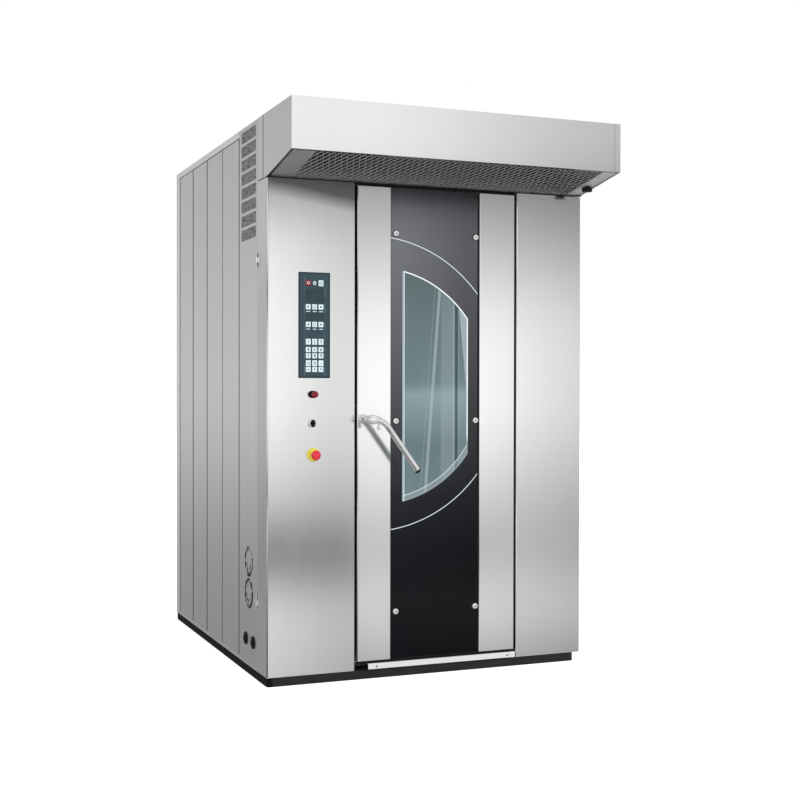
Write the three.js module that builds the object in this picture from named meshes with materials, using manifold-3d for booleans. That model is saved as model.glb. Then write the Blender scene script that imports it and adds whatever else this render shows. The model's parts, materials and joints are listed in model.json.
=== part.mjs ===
// Rotating rack oven: a free-standing bakery oven for one rolling rack.
// An insulated cabinet with a steam hood over a glazed swing door, a hinged control cover beside it,
// and a rack hook that turns in the chamber under its own gearmotor.
//
// Millimetres. While the pieces are made, x runs right from the left face, y runs back from the
// front face and z runs up from the floor. The finished group has its origin in the middle of the
// plinth's underside, with z up and the front towards -y.
import * as THREE from 'three';
import { mergeVertices } from 'three/addons/utils/BufferGeometryUtils.js';
import Module from 'manifold-3d';

const wasm = await Module();
wasm.setup();

// ------------------------------------------------------------------ cabinet
const cabinetWidth = 1430;
const cabinetDepth = 1660; // front face to rear face, without the hood
const cabinetHeight = 2300;
const plinthHeight = 35;
const plinthLeftInset = 2;
const plinthRightInset = 30;
const plinthCornerRadius = 12;
const railHeight = 15; // bright rim of the floor pan, below the side panels
const railInset = 1;
const deckHeight = 25; // chamber floor above the plinth

// ------------------------------------------------------------------ sheet metal
const skin = 1.5; // cladding
const wall = 2; // chamber, jambs and hood
const fold = 3; // outside radius of a folded edge
const seam = 2; // open joint between neighbouring panels
const trayDepth = 20; // depth of a panel's folded edges
const seat = 0.3; // left between pieces that rest on each other
const play = 0.4; // around a pin, stem or shaft in its bore
const boreRoom = 3; // a blind bore is this much deeper than its pin
const past = 1; // a tool runs this far past the metal, a joined piece this far into it

// ------------------------------------------------------------------ side and roof cladding
const leftPanelCount = 5;
const rearStripWidth = 86; // side of the panel that folds round the back
const rightPanelCount = 2;
const trimHeight = 30; // roof edge folded down over the panels
const flueFromRight = 280;
const flueFromRear = 310;
const flueRadius = 75;
const flueHeight = 60;
const rearSlotCount = 7;
const rearSlotPitch = 40;
const rearSlotWidth = 520;
const rearSlotHeight = 10;
const rearSlotDrop = 520; // lowest slot below the roof's folded edge

// ------------------------------------------------------------------ fittings of the first side panel
const ventSlotCount = 8;
const ventMiddle = 270; // behind the front face
const ventSlotWidth = 224;
const ventSlotHeight = 46;
const ventBar = 13;
const ventTopMargin = 20; // highest slot below the cabinet's top
const ventCornerRadius = 6;
const ventMeshMargin = 12;
const ventMeshThickness = 2;
const knockoutRadius = 56;
const knockoutGroove = 3;
const knockoutDepth = 0.7;
const knockoutY = 265;
const knockoutHeights = [338, 470];
const glandHeight = 144;
const glandDepths = [200, 312];
const glandFlangeRadius = 27;
const glandThreadRadius = 16;
const glandReach = 9;
const glandTail = 14;
const cableBoreRadius = 6;

// ------------------------------------------------------------------ front
const controlWidth = 375;
const controlDepth = 134; // side return of the control cover
const controlEdge = 25; // return beside the door
const frontBottomGap = 2; // front panels above the plinth
const frontTopGap = 4; // front panels below the hood
const doorWidth = 722;
const doorGap = 10;
const doorBottomGap = 12; // door above the sill
const doorTopGap = 15; // door below the hood
const doorCoreDepth = 80;
const stileLeftWidth = 149;
const stileRightWidth = 167;
const stileReturn = 44;
const stileGlassReturn = 8;
const glassRecess = 2.5;
const glassThickness = 6;
const linerThickness = 20;
const linerMargin = 15; // liner inside the doorway
const linerSill = 35; // liner's lower edge above the chamber floor
const sealWidth = 14;
const sealDepth = 12.1;
const sealBeyondLeft = 22; // outer edge of the seal past the doorway
const sealBeyondRight = 17;
const sealBeyondTop = 23;
const sweepHeight = 27;
const sweepLift = 1; // sweep above the sill

// ------------------------------------------------------------------ glass, window and bolts
const arcSetback = 69; // centre of the window's arcs, left of the glass
const arcZ = 1212;
const windowMarginLeft = 54;
const windowMarginRight = 56;
const windowRightHalfHeight = 267.3; // where the arcs meet its right edge
const windowTube = 3;
const innerGlassThickness = 6;
const innerGlassSetback = 8;
const boltFromBottom = 196;
const boltMiddle = 1063; // above the floor
const boltFromTop = 188;
const boltInsetLeft = 23; // from the left edge of the glass
const boltInsetRight = 18;
const boltHeadRadius = 12.5;
const boltHeadHeight = 6;
const boltRadius = 5;
const boltLength = 16;

// ------------------------------------------------------------------ sill, hinges and latch
const sillInset = 48; // sill's left end from the door's left edge
const sillPast = 3; // sill's right end past the door's right edge
const sillProud = 6;
const sillLift = 2; // sill above the chamber floor
const sillGap = 4.5; // sill's front above the plinth's top
const pivotInset = 11; // door pivot from the door's right edge
const pivotDepth = 14;
const pivotRadius = 7;
const pivotEngage = 35;
const pivotCollarRadius = 11;
const pivotCollarGap = 0.5;
const hingePlateWidth = 35;
const hingePlateThickness = 10.7;
const hingePlateSetback = 3; // hinge plates in front of the jambs
const spindleInset = 27; // from the door's left edge
const spindleZ = 1073;
const spindleRadius = 10;
const camSetback = 26; // middle of the latch tongue in front of the leaf's rear face
const camThickness = 10;
const camLength = 50;
const camWidth = 16;
const camHubRadius = 17;
const camClearance = 2;
const latchSlotAbove = 50;
const latchSlotBelow = 12;
const keeperThickness = 3;
const keeperMargin = 14;
const keeperPlay = 1; // round the tongue's sweep

// ------------------------------------------------------------------ lever handle
const handleFlangeRadius = 20;
const handleFlangeThickness = 8;
const handleBarrelRadius = 16;
const handleBarrelReach = 88;
const handleBevel = 2;
const leverHubRadius = 19;
const leverHubLength = 42;
const leverBevel = 3;
const leverRodRadius = 11;
const leverElbowRun = 49;
const leverElbowDrop = 10;
const leverRun = 194; // spindle to lever end
const leverDrop = 214;
const leverCapLength = 10;
const leverTurn = 75; // degrees from released, as modelled, to locked
const clampBoltRadius = 5;
const clampBoltX = 24;
const clampBoltUp = 14;
const clampBoltDown = 41;
const clampNutRadius = 9;
const clampNutLength = 8;
const clampNutInset = 3; // from each end of the clamp bolt

// ------------------------------------------------------------------ hood and front header
const hoodReach = 330;
const hoodFaceHeight = 200;
const hoodWallHeight = 255; // at the wall, down from the cabinet's top
const hoodLip = 12;
const grilleThickness = 3;
const grilleMarginLeft = 105;
const grilleMarginRight = 60;
const grilleFront = 20; // from the hood's front face
const grilleRear = 40; // from the wall
const diamondPitchX = 105;
const diamondPitchY = 54;
const diamondStrand = 9;
const plugInset = 36; // from the hood's right side
const plugY = 120; // in front of the wall
const plugRadius = 22;
const plugHeight = 17;
const plugStemRadius = 6;
const plugStemLength = 12;

// ------------------------------------------------------------------ controls
const keypadLeft = 132;
const keypadWidth = 134;
const keypadBottom = 1240;
const keypadHeight = 428;
const keypadCorner = 3;
const keypadThickness = 2.2;
const resetX = 193;
const resetZ = 1174;
const resetRadius = 13;
const resetReach = 38; // from the cover's face
const resetBevel = 2.5;
const resetClearance = 0.5; // left behind the head when it is pushed
const resetTravel = 3;
const selectorX = 190;
const selectorZ = 1057;
const selectorRadius = 17;
const selectorReach = 26; // from the bezel
const selectorSkirt = 10;
const selectorBevel = 2;
const selectorGripWidth = 8;
const selectorGripInset = 2.5;
const bezelWall = 1.5;
const bezelHeight = 4;
const resetCollar = 20; // collar round the reset button, in front of the cover
const stemRadius = 5;
const stemLength = 24;
const switchBodyWidth = 40;
const switchBodyDepth = 38;
const stopX = 196;
const stopZ = 929;
const stopPlateRadius = 28;
const stopPlateThickness = 20;
const stopPlateBevel = 4;
const stopBarrelRadius = 11;
const stopStemRadius = 8;
const stopHeadRadius = 20;
const stopHeadHeight = 18;
const stopHeadEdge = 3;
const stopHeadDome = 7;
const stopNeck = 1.5; // flare from the stem to the head
const stopClearance = 2; // left under the head when it is pushed
const stopTravel = 6;
const knuckleFromBottom = 283; // of the control cover
const knuckleFromTop = 318;
const knuckleLength = 20;
const knuckleGap = 0.5;
const knuckleRadius = 4.5;
const knucklePinRadius = 2.4;
const knuckleLeaf = 3;
const knuckleReach = 5; // hinge axis outside the left face

// ------------------------------------------------------------------ chamber, insulation and air circuit
const insulation = 80;
const chamberFront = 200;
const leftDuct = 130.7; // chamber wall to insulation
const rightDuct = 68.7;
const chamberRise = 5; // chamber ceiling above the doorway
const doorOverlapLeft = 30; // door past the doorway
const doorOverlapRight = 32;
const doorOverlapTop = 45;
const sealGap = 0.6; // between the closed door's seal and the jambs
const jambStandoff = 1; // latch jamb beside the control cover
const rearPlenum = 190; // chamber back wall to insulation
const airSlotCount = 9;
const airSlotHeight = 18;
const airSlotLength = 700;
const airSlotBottom = 240;
const airSlotPitch = 180;
const outletColumns = 3;
const outletRows = 4;
const outletWidth = 180;
const outletHeight = 260;
const outletGapY = 120;
const outletGapZ = 130;
const outletBottom = 320;

// ------------------------------------------------------------------ rotation and fan
const hookLength = 420;
const hookWidth = 90;
const hookHeight = 45;
const hookWall = 5;
const hookSlot = 26;
const hookDrop = 90; // underside of the hook channel below the ceiling
const hookFlangeRadius = 60;
const hookFlangeThickness = 12;
const hookShaftRadius = 15;
const hookShaftEngage = 65;
const gearboxSize = 140;
const gearboxHeight = 90;
const motorRadius = 55;
const motorLength = 190;
const motorRibs = 2;
const motorRibDepth = 5;
const fanHeight = 1500;
const fanRadius = 210;
const fanInletRadius = 165;
const fanGap = 20; // impeller behind the chamber's back wall
const fanWidth = 110;
const fanPlate = 6;
const fanRim = 6; // plates beyond the blades
const fanBladeCount = 8;
const fanBladeThickness = 4;
const fanBladeInner = 118;
const fanBladeLean = 0.5; // radians swept from root to tip
const fanHubRadius = 34;
const fanHubLength = 40;
const fanShaftRadius = 12;
const fanShaftEngage = 20;
const fanShaftNose = 8; // shaft in front of the hub
const fanMotorRadius = 80;
const fanMotorLength = 150;
const fanMotorRoom = 10; // behind the fan motor
const heaterCount = 3;
const heaterRadius = 8;
const heaterBend = 60;
const heaterLap = 0.5; // each leg runs this far into the bend
const heaterSpacing = 300;
const heaterBottom = 300;
const heaterLeft = 300;
const heaterPlateThickness = 10;
const heaterPlateWidth = 120;

// ------------------------------------------------------------------ electrics behind the control cover
const platePadding = 24;
const plateThickness = 3;
const plateFromBottom = 113; // of the control cover
const plateFromTop = 91;
const contactorCount = 4;
const contactorWidth = 54;
const contactorHeight = 86;
const contactorDepth = 50;
const contactorPitch = 70;
const contactorBottom = 620;
const driveWidth = 130;
const driveHeight = 220;
const driveDepth = 52;
const driveDrop = 350; // underside below the plate's top
const terminalHeight = 46;
const terminalDepth = 36;
const terminalBottom = 320;

// ------------------------------------------------------------------ places that follow from the sizes
const railTop = plinthHeight + railHeight;
const floorTop = plinthHeight + deckHeight;
const sillTop = floorTop + sillLift;
const trimBottom = cabinetHeight - trimHeight;
const hoodWallBottom = cabinetHeight - hoodWallHeight;
const headerBottom = hoodWallBottom + seat;
const headerRear = controlDepth - seat;
const frontBottom = plinthHeight + frontBottomGap;
const frontTop = hoodWallBottom - frontTopGap;

const doorLeft = controlWidth + doorGap;
const doorRight = doorLeft + doorWidth;
const doorBottom = sillTop + doorBottomGap;
const doorTop = hoodWallBottom - doorTopGap;
const columnLeft = doorRight + doorGap;
const glassLeft = doorLeft + stileLeftWidth;
const glassRight = doorRight - stileRightWidth;
const arcX = glassLeft - arcSetback;
const windowLeft = glassLeft + windowMarginLeft;
const windowRight = glassRight - windowMarginRight;
const windowRadius = Math.hypot(windowRight - arcX, windowRightHalfHeight);
const pivotX = doorRight - pivotInset;
const spindleX = doorLeft + spindleInset;
const camDepth = doorCoreDepth - camSetback;
const jambEdge = camDepth + camThickness / 2 + camClearance; // the tongue passes in front of it
const jambFace = doorCoreDepth + seat + sealDepth + sealGap; // seal face of the jambs
const doorwayLeft = doorLeft + doorOverlapLeft;
const doorwayRight = doorRight - doorOverlapRight;
const doorwayTop = doorTop - doorOverlapTop;

const panelPitch = (cabinetDepth - controlDepth - rearStripWidth) / leftPanelCount;
const ventPitch = ventSlotHeight + ventBar;
const ventTop = cabinetHeight - ventTopMargin;
const ventBottom = ventTop + ventBar - ventSlotCount * ventPitch;
const knuckleHeights = [frontBottom + knuckleFromBottom, frontTop - knuckleFromTop];

const shellLeft = trayDepth + seat;
const shellRight = cabinetWidth - trayDepth - seat;
const shellFront = controlDepth + seat;
const shellRear = cabinetDepth - fanMotorLength - fanMotorRoom;
const shellRearInner = shellRear - insulation;
const chamberLeft = shellLeft + insulation + leftDuct;
const chamberRight = shellRight - insulation - rightDuct;
const chamberRear = shellRearInner - rearPlenum;
const chamberTop = doorwayTop + chamberRise;
const ceilingTop = chamberTop + wall;
const shellTop = ceilingTop + seat + insulation;
const hookX = (chamberLeft + chamberRight) / 2;
const hookY = (chamberFront + chamberRear) / 2;
const leverPlane = handleBarrelReach + seat + leverHubLength * 0.6;
const hoodFrontBottom = cabinetHeight - hoodFaceHeight;
const hoodSlope = (hoodFrontBottom - hoodWallBottom) / hoodReach;

// ------------------------------------------------------------------ finishes
function finish(color, roughness, metalness) {
  return new THREE.MeshStandardMaterial({ color, roughness, metalness });
}

const stainless = finish(0xc4c5c7, 0.35, 0.9);
const sideStainless = finish(0xa9abad, 0.4, 0.9);
const brightEdge = finish(0xdadbdc, 0.25, 0.9);
const chamberSteel = finish(0x9a9a98, 0.45, 0.9);
const hoodGrey = finish(0x6a6b6c, 0.55, 0.7);
const plinthBlack = finish(0x242424, 0.7, 0.1);
const mineralWool = finish(0xb9ad8c, 0.95, 0);
const darkGlass = finish(0x1c1f23, 0.08, 0);
const clearGlass = finish(0x7c9698, 0.08, 0);
const rubber = finish(0x1f1f20, 0.85, 0);
const blackPlastic = finish(0x18181a, 0.5, 0);
const keypadSlate = finish(0x35505a, 0.45, 0);
const stopYellow = finish(0xe8c21c, 0.45, 0);
const stopRed = finish(0xc8321e, 0.4, 0);
const resetRed = finish(0x7c1420, 0.4, 0);
const castSteel = finish(0x8c8f92, 0.4, 0.8);
const motorPaint = finish(0x3f5560, 0.55, 0.2);

// ------------------------------------------------------------------ shape helpers
// A closed geometry as a solid that can be joined and cut. A turned profile may run either way.
function solid(geometry) {
  const bare = geometry.clone();
  bare.deleteAttribute('normal');
  bare.deleteAttribute('uv');
  const merged = mergeVertices(bare);
  const corners = merged.index.array;
  const kept = [];
  for (let i = 0; i < corners.length; i += 3) {
    const [a, b, c] = corners.slice(i, i + 3);
    if (a !== b && b !== c && c !== a) kept.push(a, b, c);
  }
  const vertProperties = new Float32Array(merged.attributes.position.array);
  const make = (list) => {
    const mesh = new wasm.Mesh({ numProp: 3, vertProperties, triVerts: new Uint32Array(list) });
    return new wasm.Manifold(mesh);
  };
  const made = make(kept);
  return made.volume() > 0 ? made : make(kept.reverse());
}

function block([x0, x1], [y0, y1], [z0, z1]) {
  const box = new THREE.BoxGeometry(x1 - x0, y1 - y0, z1 - z0);
  return solid(box.translate((x0 + x1) / 2, (y0 + y1) / 2, (z0 + z1) / 2));
}

// An outline drawn square to an axis and extruded along it. It is drawn in (x, y) for axis z,
// in (x, z) for axis y and in (y, z) for axis x.
const unitX = new THREE.Vector3(1, 0, 0);
const unitY = new THREE.Vector3(0, 1, 0);
const unitZ = new THREE.Vector3(0, 0, 1);
const planes = {
  x: new THREE.Matrix4().makeBasis(unitY, unitZ, unitX),
  y: new THREE.Matrix4().makeBasis(unitX, unitZ, unitY.clone().negate()),
  z: new THREE.Matrix4(),
};

function prism(outline, axis, from, to, curveSegments = 12) {
  const shape = Array.isArray(outline)
    ? new THREE.Shape(outline.map(([u, v]) => new THREE.Vector2(u, v)))
    : outline;
  const depth = to - from;
  const geometry = new THREE.ExtrudeGeometry(shape, { depth, bevelEnabled: false, curveSegments });
  geometry.applyMatrix4(planes[axis]);
  if (axis === 'x') geometry.translate(from, 0, 0);
  if (axis === 'y') geometry.translate(0, to, 0);
  if (axis === 'z') geometry.translate(0, 0, from);
  return solid(geometry);
}

// A turned piece: its profile lists [radius, place along the axis], its centre the other two places.
function turned(axis, [u, v], profile, sides = 24) {
  const points = profile.map(([radius, place]) => new THREE.Vector2(radius, place));
  const lathe = new THREE.LatheGeometry(points, sides);
  if (axis === 'x') lathe.rotateZ(-Math.PI / 2).translate(0, u, v);
  if (axis === 'y') lathe.translate(u, 0, v);
  if (axis === 'z') lathe.rotateX(Math.PI / 2).translate(u, v, 0);
  return solid(lathe);
}

function rod(axis, centre, radius, from, to, sides = 20) {
  return turned(axis, centre, [[0, from], [radius, from], [radius, to], [0, to]], sides);
}

function join(pieces) {
  return pieces.reduce((whole, piece) => whole.add(piece));
}

function cut(body, tools) {
  return body.subtract(join(tools));
}

function roundedRectangle([u0, u1], [v0, v1], radius) {
  const shape = new THREE.Shape();
  shape.absarc(u1 - radius, v0 + radius, radius, -Math.PI / 2, 0);
  shape.absarc(u1 - radius, v1 - radius, radius, 0, Math.PI / 2);
  shape.absarc(u0 + radius, v1 - radius, radius, Math.PI / 2, Math.PI);
  shape.absarc(u0 + radius, v0 + radius, radius, Math.PI, Math.PI * 1.5);
  return shape;
}

// A path with its inner corners rounded. radiusFor gives the radius for a left (1) or right (-1) turn.
function roundedPath(corners, radiusFor, steps = 3) {
  const path = [corners[0]];
  for (let i = 1; i < corners.length - 1; i += 1) {
    const before = corners[i].clone().sub(corners[i - 1]).normalize();
    const after = corners[i + 1].clone().sub(corners[i]).normalize();
    const turn = Math.atan2(before.cross(after), before.dot(after));
    const radius = radiusFor(Math.sign(turn));
    const reach = radius * Math.tan(Math.abs(turn) / 2);
    const start = corners[i].clone().addScaledVector(before, -reach);
    const side = new THREE.Vector2(-before.y, before.x).multiplyScalar(Math.sign(turn) * radius);
    const centre = start.clone().add(side);
    for (let step = 0; step <= steps; step += 1) {
      path.push(start.clone().rotateAround(centre, (turn * step) / steps));
    }
  }
  path.push(corners.at(-1));
  return path;
}

function offsetPath(corners, distance) {
  return corners.map((corner, i) => {
    const before = corner.clone().sub(corners[Math.max(i - 1, 0)]);
    const after = corners[Math.min(i + 1, corners.length - 1)].clone().sub(corner);
    if (i === 0) before.copy(after);
    if (i === corners.length - 1) after.copy(before);
    const along = before.normalize().clone().add(after.normalize()).normalize();
    const mitre = distance / along.dot(before);
    return corner.clone().add(new THREE.Vector2(-along.y, along.x).multiplyScalar(mitre));
  });
}

// The section of a folded sheet. Its outer face follows the corners and the metal lies to their left.
function foldedSheet(points, thickness) {
  const corners = points.map(([u, v]) => new THREE.Vector2(u, v));
  const outer = roundedPath(corners, () => fold);
  const inner = roundedPath(offsetPath(corners, thickness), (side) => fold - side * thickness);
  return new THREE.Shape([...outer, ...inner.reverse()]);
}

function named(name, body, material) {
  const { vertProperties, triVerts } = body.getMesh();
  const geometry = new THREE.BufferGeometry();
  geometry.setAttribute('position', new THREE.BufferAttribute(new Float32Array(vertProperties), 3));
  geometry.setIndex(new THREE.BufferAttribute(new Uint32Array(triVerts), 1));
  geometry.computeVertexNormals();
  const mesh = new THREE.Mesh(geometry, material);
  mesh.name = name;
  return mesh;
}

// ------------------------------------------------------------------ base
function makePlinth() {
  const outline = roundedRectangle(
    [plinthLeftInset, cabinetWidth - plinthRightInset],
    [0, cabinetDepth],
    plinthCornerRadius,
  );
  return prism(outline, 'z', 0, plinthHeight, 4);
}

// Floor pan: a bright rim under the panels, the chamber floor, and a tongue under the doorway.
function makeChamberFloor() {
  const bottom = plinthHeight + seat;
  const rim = block(
    [railInset, cabinetWidth - railInset],
    [shellFront, cabinetDepth - railInset],
    [bottom, railTop],
  );
  const deck = block([shellLeft, shellRight], [shellFront, shellRear], [bottom, floorTop]);
  const tongue = block(
    [controlWidth + seam + wall, columnLeft - seam],
    [jambFace, shellFront + past],
    [bottom, floorTop],
  );
  return join([rim, deck, tongue]);
}

function makeSill() {
  const path = [
    [jambFace - seat, sillTop],
    [-sillProud, sillTop],
    [-sillProud, plinthHeight + sillGap],
  ];
  const sheet = prism(foldedSheet(path, wall), 'x', doorLeft + sillInset, doorRight + sillPast);
  const collar = rod('z', [pivotX, pivotDepth], pivotCollarRadius + pivotCollarGap, 0, doorBottom);
  return cut(sheet, [collar]);
}

// ------------------------------------------------------------------ cladding
const panelBottom = railTop + seat;
const panelTop = trimBottom - seat;

function leftTray(front, rear, top) {
  const section = [[trayDepth, rear], [0, rear], [0, front], [trayDepth, front]];
  return prism(foldedSheet(section, skin), 'z', panelBottom, top);
}

function rightTray(front, rear, top) {
  const face = cabinetWidth;
  const section = [[face - trayDepth, front], [face, front], [face, rear], [face - trayDepth, rear]];
  return prism(foldedSheet(section, skin), 'z', panelBottom, top);
}

function ventSlots() {
  const slots = [];
  for (let row = 0; row < ventSlotCount; row += 1) {
    const bottom = ventBottom + row * ventPitch;
    const outline = roundedRectangle(
      [ventMiddle - ventSlotWidth / 2, ventMiddle + ventSlotWidth / 2],
      [bottom, bottom + ventSlotHeight],
      ventCornerRadius,
    );
    slots.push(prism(outline, 'x', -past, skin + past, 1));
  }
  return slots;
}

function knockoutGrooves() {
  return knockoutHeights.map((height) => {
    const ring = rod('x', [knockoutY, height], knockoutRadius, -past, knockoutDepth, 24);
    const core = rod('x', [knockoutY, height], knockoutRadius - knockoutGroove, -past * 2, past, 24);
    return ring.subtract(core);
  });
}

// Hinge of the control cover: two fixed knuckles with the pin, one moving knuckle between them.
const knuckleAxis = [-knuckleReach, controlDepth + (seam / 2 - seat) / 2];

function fixedKnuckles(height) {
  const pitch = knuckleLength + knuckleGap;
  const pieces = [rod('z', knuckleAxis, knucklePinRadius, height - pitch, height + pitch, 8)];
  for (const side of [-1, 1]) {
    const middle = height + side * pitch;
    const [low, high] = [middle - knuckleLength / 2, middle + knuckleLength / 2];
    pieces.push(rod('z', knuckleAxis, knuckleRadius, low, high, 10));
    const leafFront = controlDepth + seam;
    pieces.push(block([-knuckleReach, fold], [leafFront, leafFront + knuckleLeaf], [low, high]));
  }
  return join(pieces);
}

function movingKnuckle(height) {
  const [low, high] = [height - knuckleLength / 2, height + knuckleLength / 2];
  const barrel = rod('z', knuckleAxis, knuckleRadius, low, high, 10);
  const leafRear = controlDepth - seat;
  const leaf = block([-knuckleReach, skin / 2], [leafRear - knuckleLeaf, leafRear], [low, high]);
  const bore = rod('z', knuckleAxis, knucklePinRadius + play, low - past, high + past, 8);
  return barrel.add(leaf).subtract(bore);
}

function makeLeftPanel(index) {
  const front = controlDepth + index * panelPitch + seam / 2;
  const rear = front + panelPitch - seam;
  if (index > 0) return leftTray(front, rear, panelTop);
  const tray = leftTray(front, rear, cabinetHeight - skin - seat);
  const glandHoles = glandDepths.map((depth) =>
    rod('x', [depth, glandHeight], glandThreadRadius + play, -past, skin + past, 14));
  const pierced = cut(tray, [...ventSlots(), ...knockoutGrooves(), ...glandHoles]);
  return join([pierced, ...knuckleHeights.map(fixedKnuckles)]);
}

function makeRightPanel(index) {
  const length = (leftPanelCount * panelPitch) / rightPanelCount;
  const front = controlDepth + index * length + seam / 2;
  return rightTray(front, front + length - seam, panelTop);
}

function makeRearPanel() {
  const front = controlDepth + leftPanelCount * panelPitch + seam / 2;
  const section = [
    [cabinetWidth - trayDepth, front],
    [cabinetWidth, front],
    [cabinetWidth, cabinetDepth],
    [0, cabinetDepth],
    [0, front],
    [trayDepth, front],
  ];
  const sheet = prism(foldedSheet(section, skin), 'z', panelBottom, panelTop);
  const middle = cabinetWidth / 2;
  const slots = [];
  for (let row = 0; row < rearSlotCount; row += 1) {
    const bottom = trimBottom - rearSlotDrop + row * rearSlotPitch;
    slots.push(block(
      [middle - rearSlotWidth / 2, middle + rearSlotWidth / 2],
      [cabinetDepth - skin - past, cabinetDepth + past],
      [bottom, bottom + rearSlotHeight],
    ));
  }
  return cut(sheet, slots);
}

function makeRightFrontPanel() {
  const section = [
    [columnLeft, jambFace + wall],
    [columnLeft, 0],
    [cabinetWidth, 0],
    [cabinetWidth, controlDepth - seat],
    [cabinetWidth - trayDepth, controlDepth - seat],
  ];
  return prism(foldedSheet(section, skin), 'z', frontBottom, frontTop);
}

// Roof sheet, folded down over the panels, with the collar that the steam flue fits over.
function makeRoof() {
  const section = [
    [cabinetWidth, trimBottom],
    [cabinetWidth, cabinetHeight],
    [0, cabinetHeight],
    [0, trimBottom],
  ];
  const sheet = prism(foldedSheet(section, skin), 'y', shellFront, cabinetDepth);
  const rearFold = block(
    [fold, cabinetWidth - fold],
    [cabinetDepth - skin, cabinetDepth],
    [trimBottom, cabinetHeight - skin / 2],
  );
  const flue = [cabinetWidth - flueFromRight, cabinetDepth - flueFromRear];
  const flueTop = cabinetHeight + flueHeight;
  const collar = rod('z', flue, flueRadius, cabinetHeight - skin / 2, flueTop, 24);
  const bore = rod('z', flue, flueRadius - wall, cabinetHeight - fold, flueTop + past, 24);
  const overFirstPanel = block(
    [-past, fold * 2],
    [controlDepth, controlDepth + panelPitch],
    [trimBottom - past, cabinetHeight - skin + seat],
  );
  return cut(join([sheet, rearFold, collar]), [bore, overFirstPanel]);
}

// ------------------------------------------------------------------ header and hood
function makeFrontHeader() {
  const box = block([0, cabinetWidth], [0, headerRear], [headerBottom, cabinetHeight]);
  const inside = block(
    [skin, cabinetWidth - skin],
    [skin, headerRear + past],
    [headerBottom + wall, cabinetHeight - skin],
  );
  const under = doorwayTop + seat;
  const profile = [
    [jambFace, under],
    [chamberFront, under],
    [chamberFront, ceilingTop],
    [chamberFront - wall, ceilingTop],
    [chamberFront - wall, under + wall],
    [jambFace, under + wall],
  ];
  const lintel = prism(profile, 'x', doorwayLeft - wall, doorwayRight + wall);
  const sealPlate = block(
    [controlWidth + seam + wall, columnLeft - seam],
    [jambFace, jambFace + wall],
    [under, headerBottom + past],
  );
  return join([box.subtract(inside), lintel, sealPlate]);
}

// Height of the hood's sloping underside at a place in front of the wall.
function hoodUnderside(front) {
  return hoodWallBottom + hoodSlope * front;
}

function hoodBand(front, rear, lift, thickness) {
  return [
    [-front, hoodUnderside(front) + lift],
    [-rear, hoodUnderside(rear) + lift],
    [-rear, hoodUnderside(rear) + lift + thickness],
    [-front, hoodUnderside(front) + lift + thickness],
  ];
}

function makeHoodShell() {
  const outline = [
    [-hoodReach, hoodUnderside(hoodReach)],
    [-seat, hoodUnderside(seat)],
    [-seat, cabinetHeight],
    [-hoodReach, cabinetHeight],
  ];
  const body = prism(outline, 'x', 0, cabinetWidth);
  const inside = block(
    [wall, cabinetWidth - wall],
    [wall - hoodReach, 1],
    [hoodWallBottom - past, cabinetHeight - wall],
  );
  const lip = prism(hoodBand(hoodReach, seat, 0, wall), 'x', 0, cabinetWidth);
  const mouth = block(
    [hoodLip, cabinetWidth - hoodLip],
    [hoodLip - hoodReach, 1],
    [hoodWallBottom - past, hoodFrontBottom + wall + past],
  );
  return body.subtract(inside).add(lip.subtract(mouth));
}

const grilleTop = hoodFrontBottom + wall + seat + grilleThickness;
const plugPlace = [cabinetWidth - plugInset, -plugY];

// Expanded-metal screen: diamonds in staggered rows, every second row shifted by half a pitch.
function diamondCuts() {
  const front = hoodReach - grilleFront;
  const rows = Math.floor((front - grilleRear) / (diamondPitchY / 2)) - 1;
  const halfX = (diamondPitchX - diamondStrand * 2) / 2;
  const halfY = (diamondPitchY - diamondStrand) / 2;
  const last = cabinetWidth - grilleMarginRight;
  const cuts = [];
  for (let row = 0; row < rows; row += 1) {
    const y = -(grilleRear + diamondPitchY / 2 + (row * diamondPitchY) / 2);
    const shift = (row % 2) * (diamondPitchX / 2);
    const first = grilleMarginLeft + diamondPitchX / 2 + shift;
    for (let x = first; x + diamondPitchX / 2 <= last; x += diamondPitchX) {
      const outline = [[x - halfX, y], [x, y - halfY], [x + halfX, y], [x, y + halfY]];
      cuts.push(prism(outline, 'z', hoodWallBottom, grilleTop + past));
    }
  }
  return cuts;
}


function makeHoodGrille() {
  const front = hoodReach - wall - seat;
  const rear = seat * 2;
  const plate = prism(
    hoodBand(front, rear, wall + seat, grilleThickness),
    'x',
    wall + seat,
    cabinetWidth - wall - seat,
  );
  const plugHole = rod('z', plugPlace, plugStemRadius + play, hoodWallBottom, grilleTop + past);
  return cut(plate, [...diamondCuts(), plugHole]);
}

function makeDrainPlug() {
  const headTop = hoodUnderside(plugY - plugRadius) + wall;
  const head = rod('z', plugPlace, plugRadius, headTop - plugHeight, headTop, 6);
  const stem = rod('z', plugPlace, plugStemRadius, headTop - past, headTop + plugStemLength, 12);
  return head.add(stem);
}

// ------------------------------------------------------------------ doorway
function latchSlot(from, to, margin = 0) {
  const half = camThickness / 2 + camClearance;
  return block(
    [from, to],
    [camDepth - half - margin, camDepth + half + margin],
    [spindleZ - latchSlotBelow - margin, spindleZ + latchSlotAbove + margin],
  );
}

function makeLeftJamb() {
  const face = controlWidth + jambStandoff;
  const inner = face + wall;
  const section = [
    [face, jambEdge],
    [inner, jambEdge],
    [inner, jambFace],
    [doorwayLeft, jambFace],
    [doorwayLeft, chamberFront],
    [chamberLeft, chamberFront],
    [chamberLeft, chamberFront - wall],
    [doorwayLeft - wall, chamberFront - wall],
    [doorwayLeft - wall, jambFace + wall],
    [face, jambFace + wall],
  ];
  return prism(section, 'z', floorTop + seat, doorwayTop);
}

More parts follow.
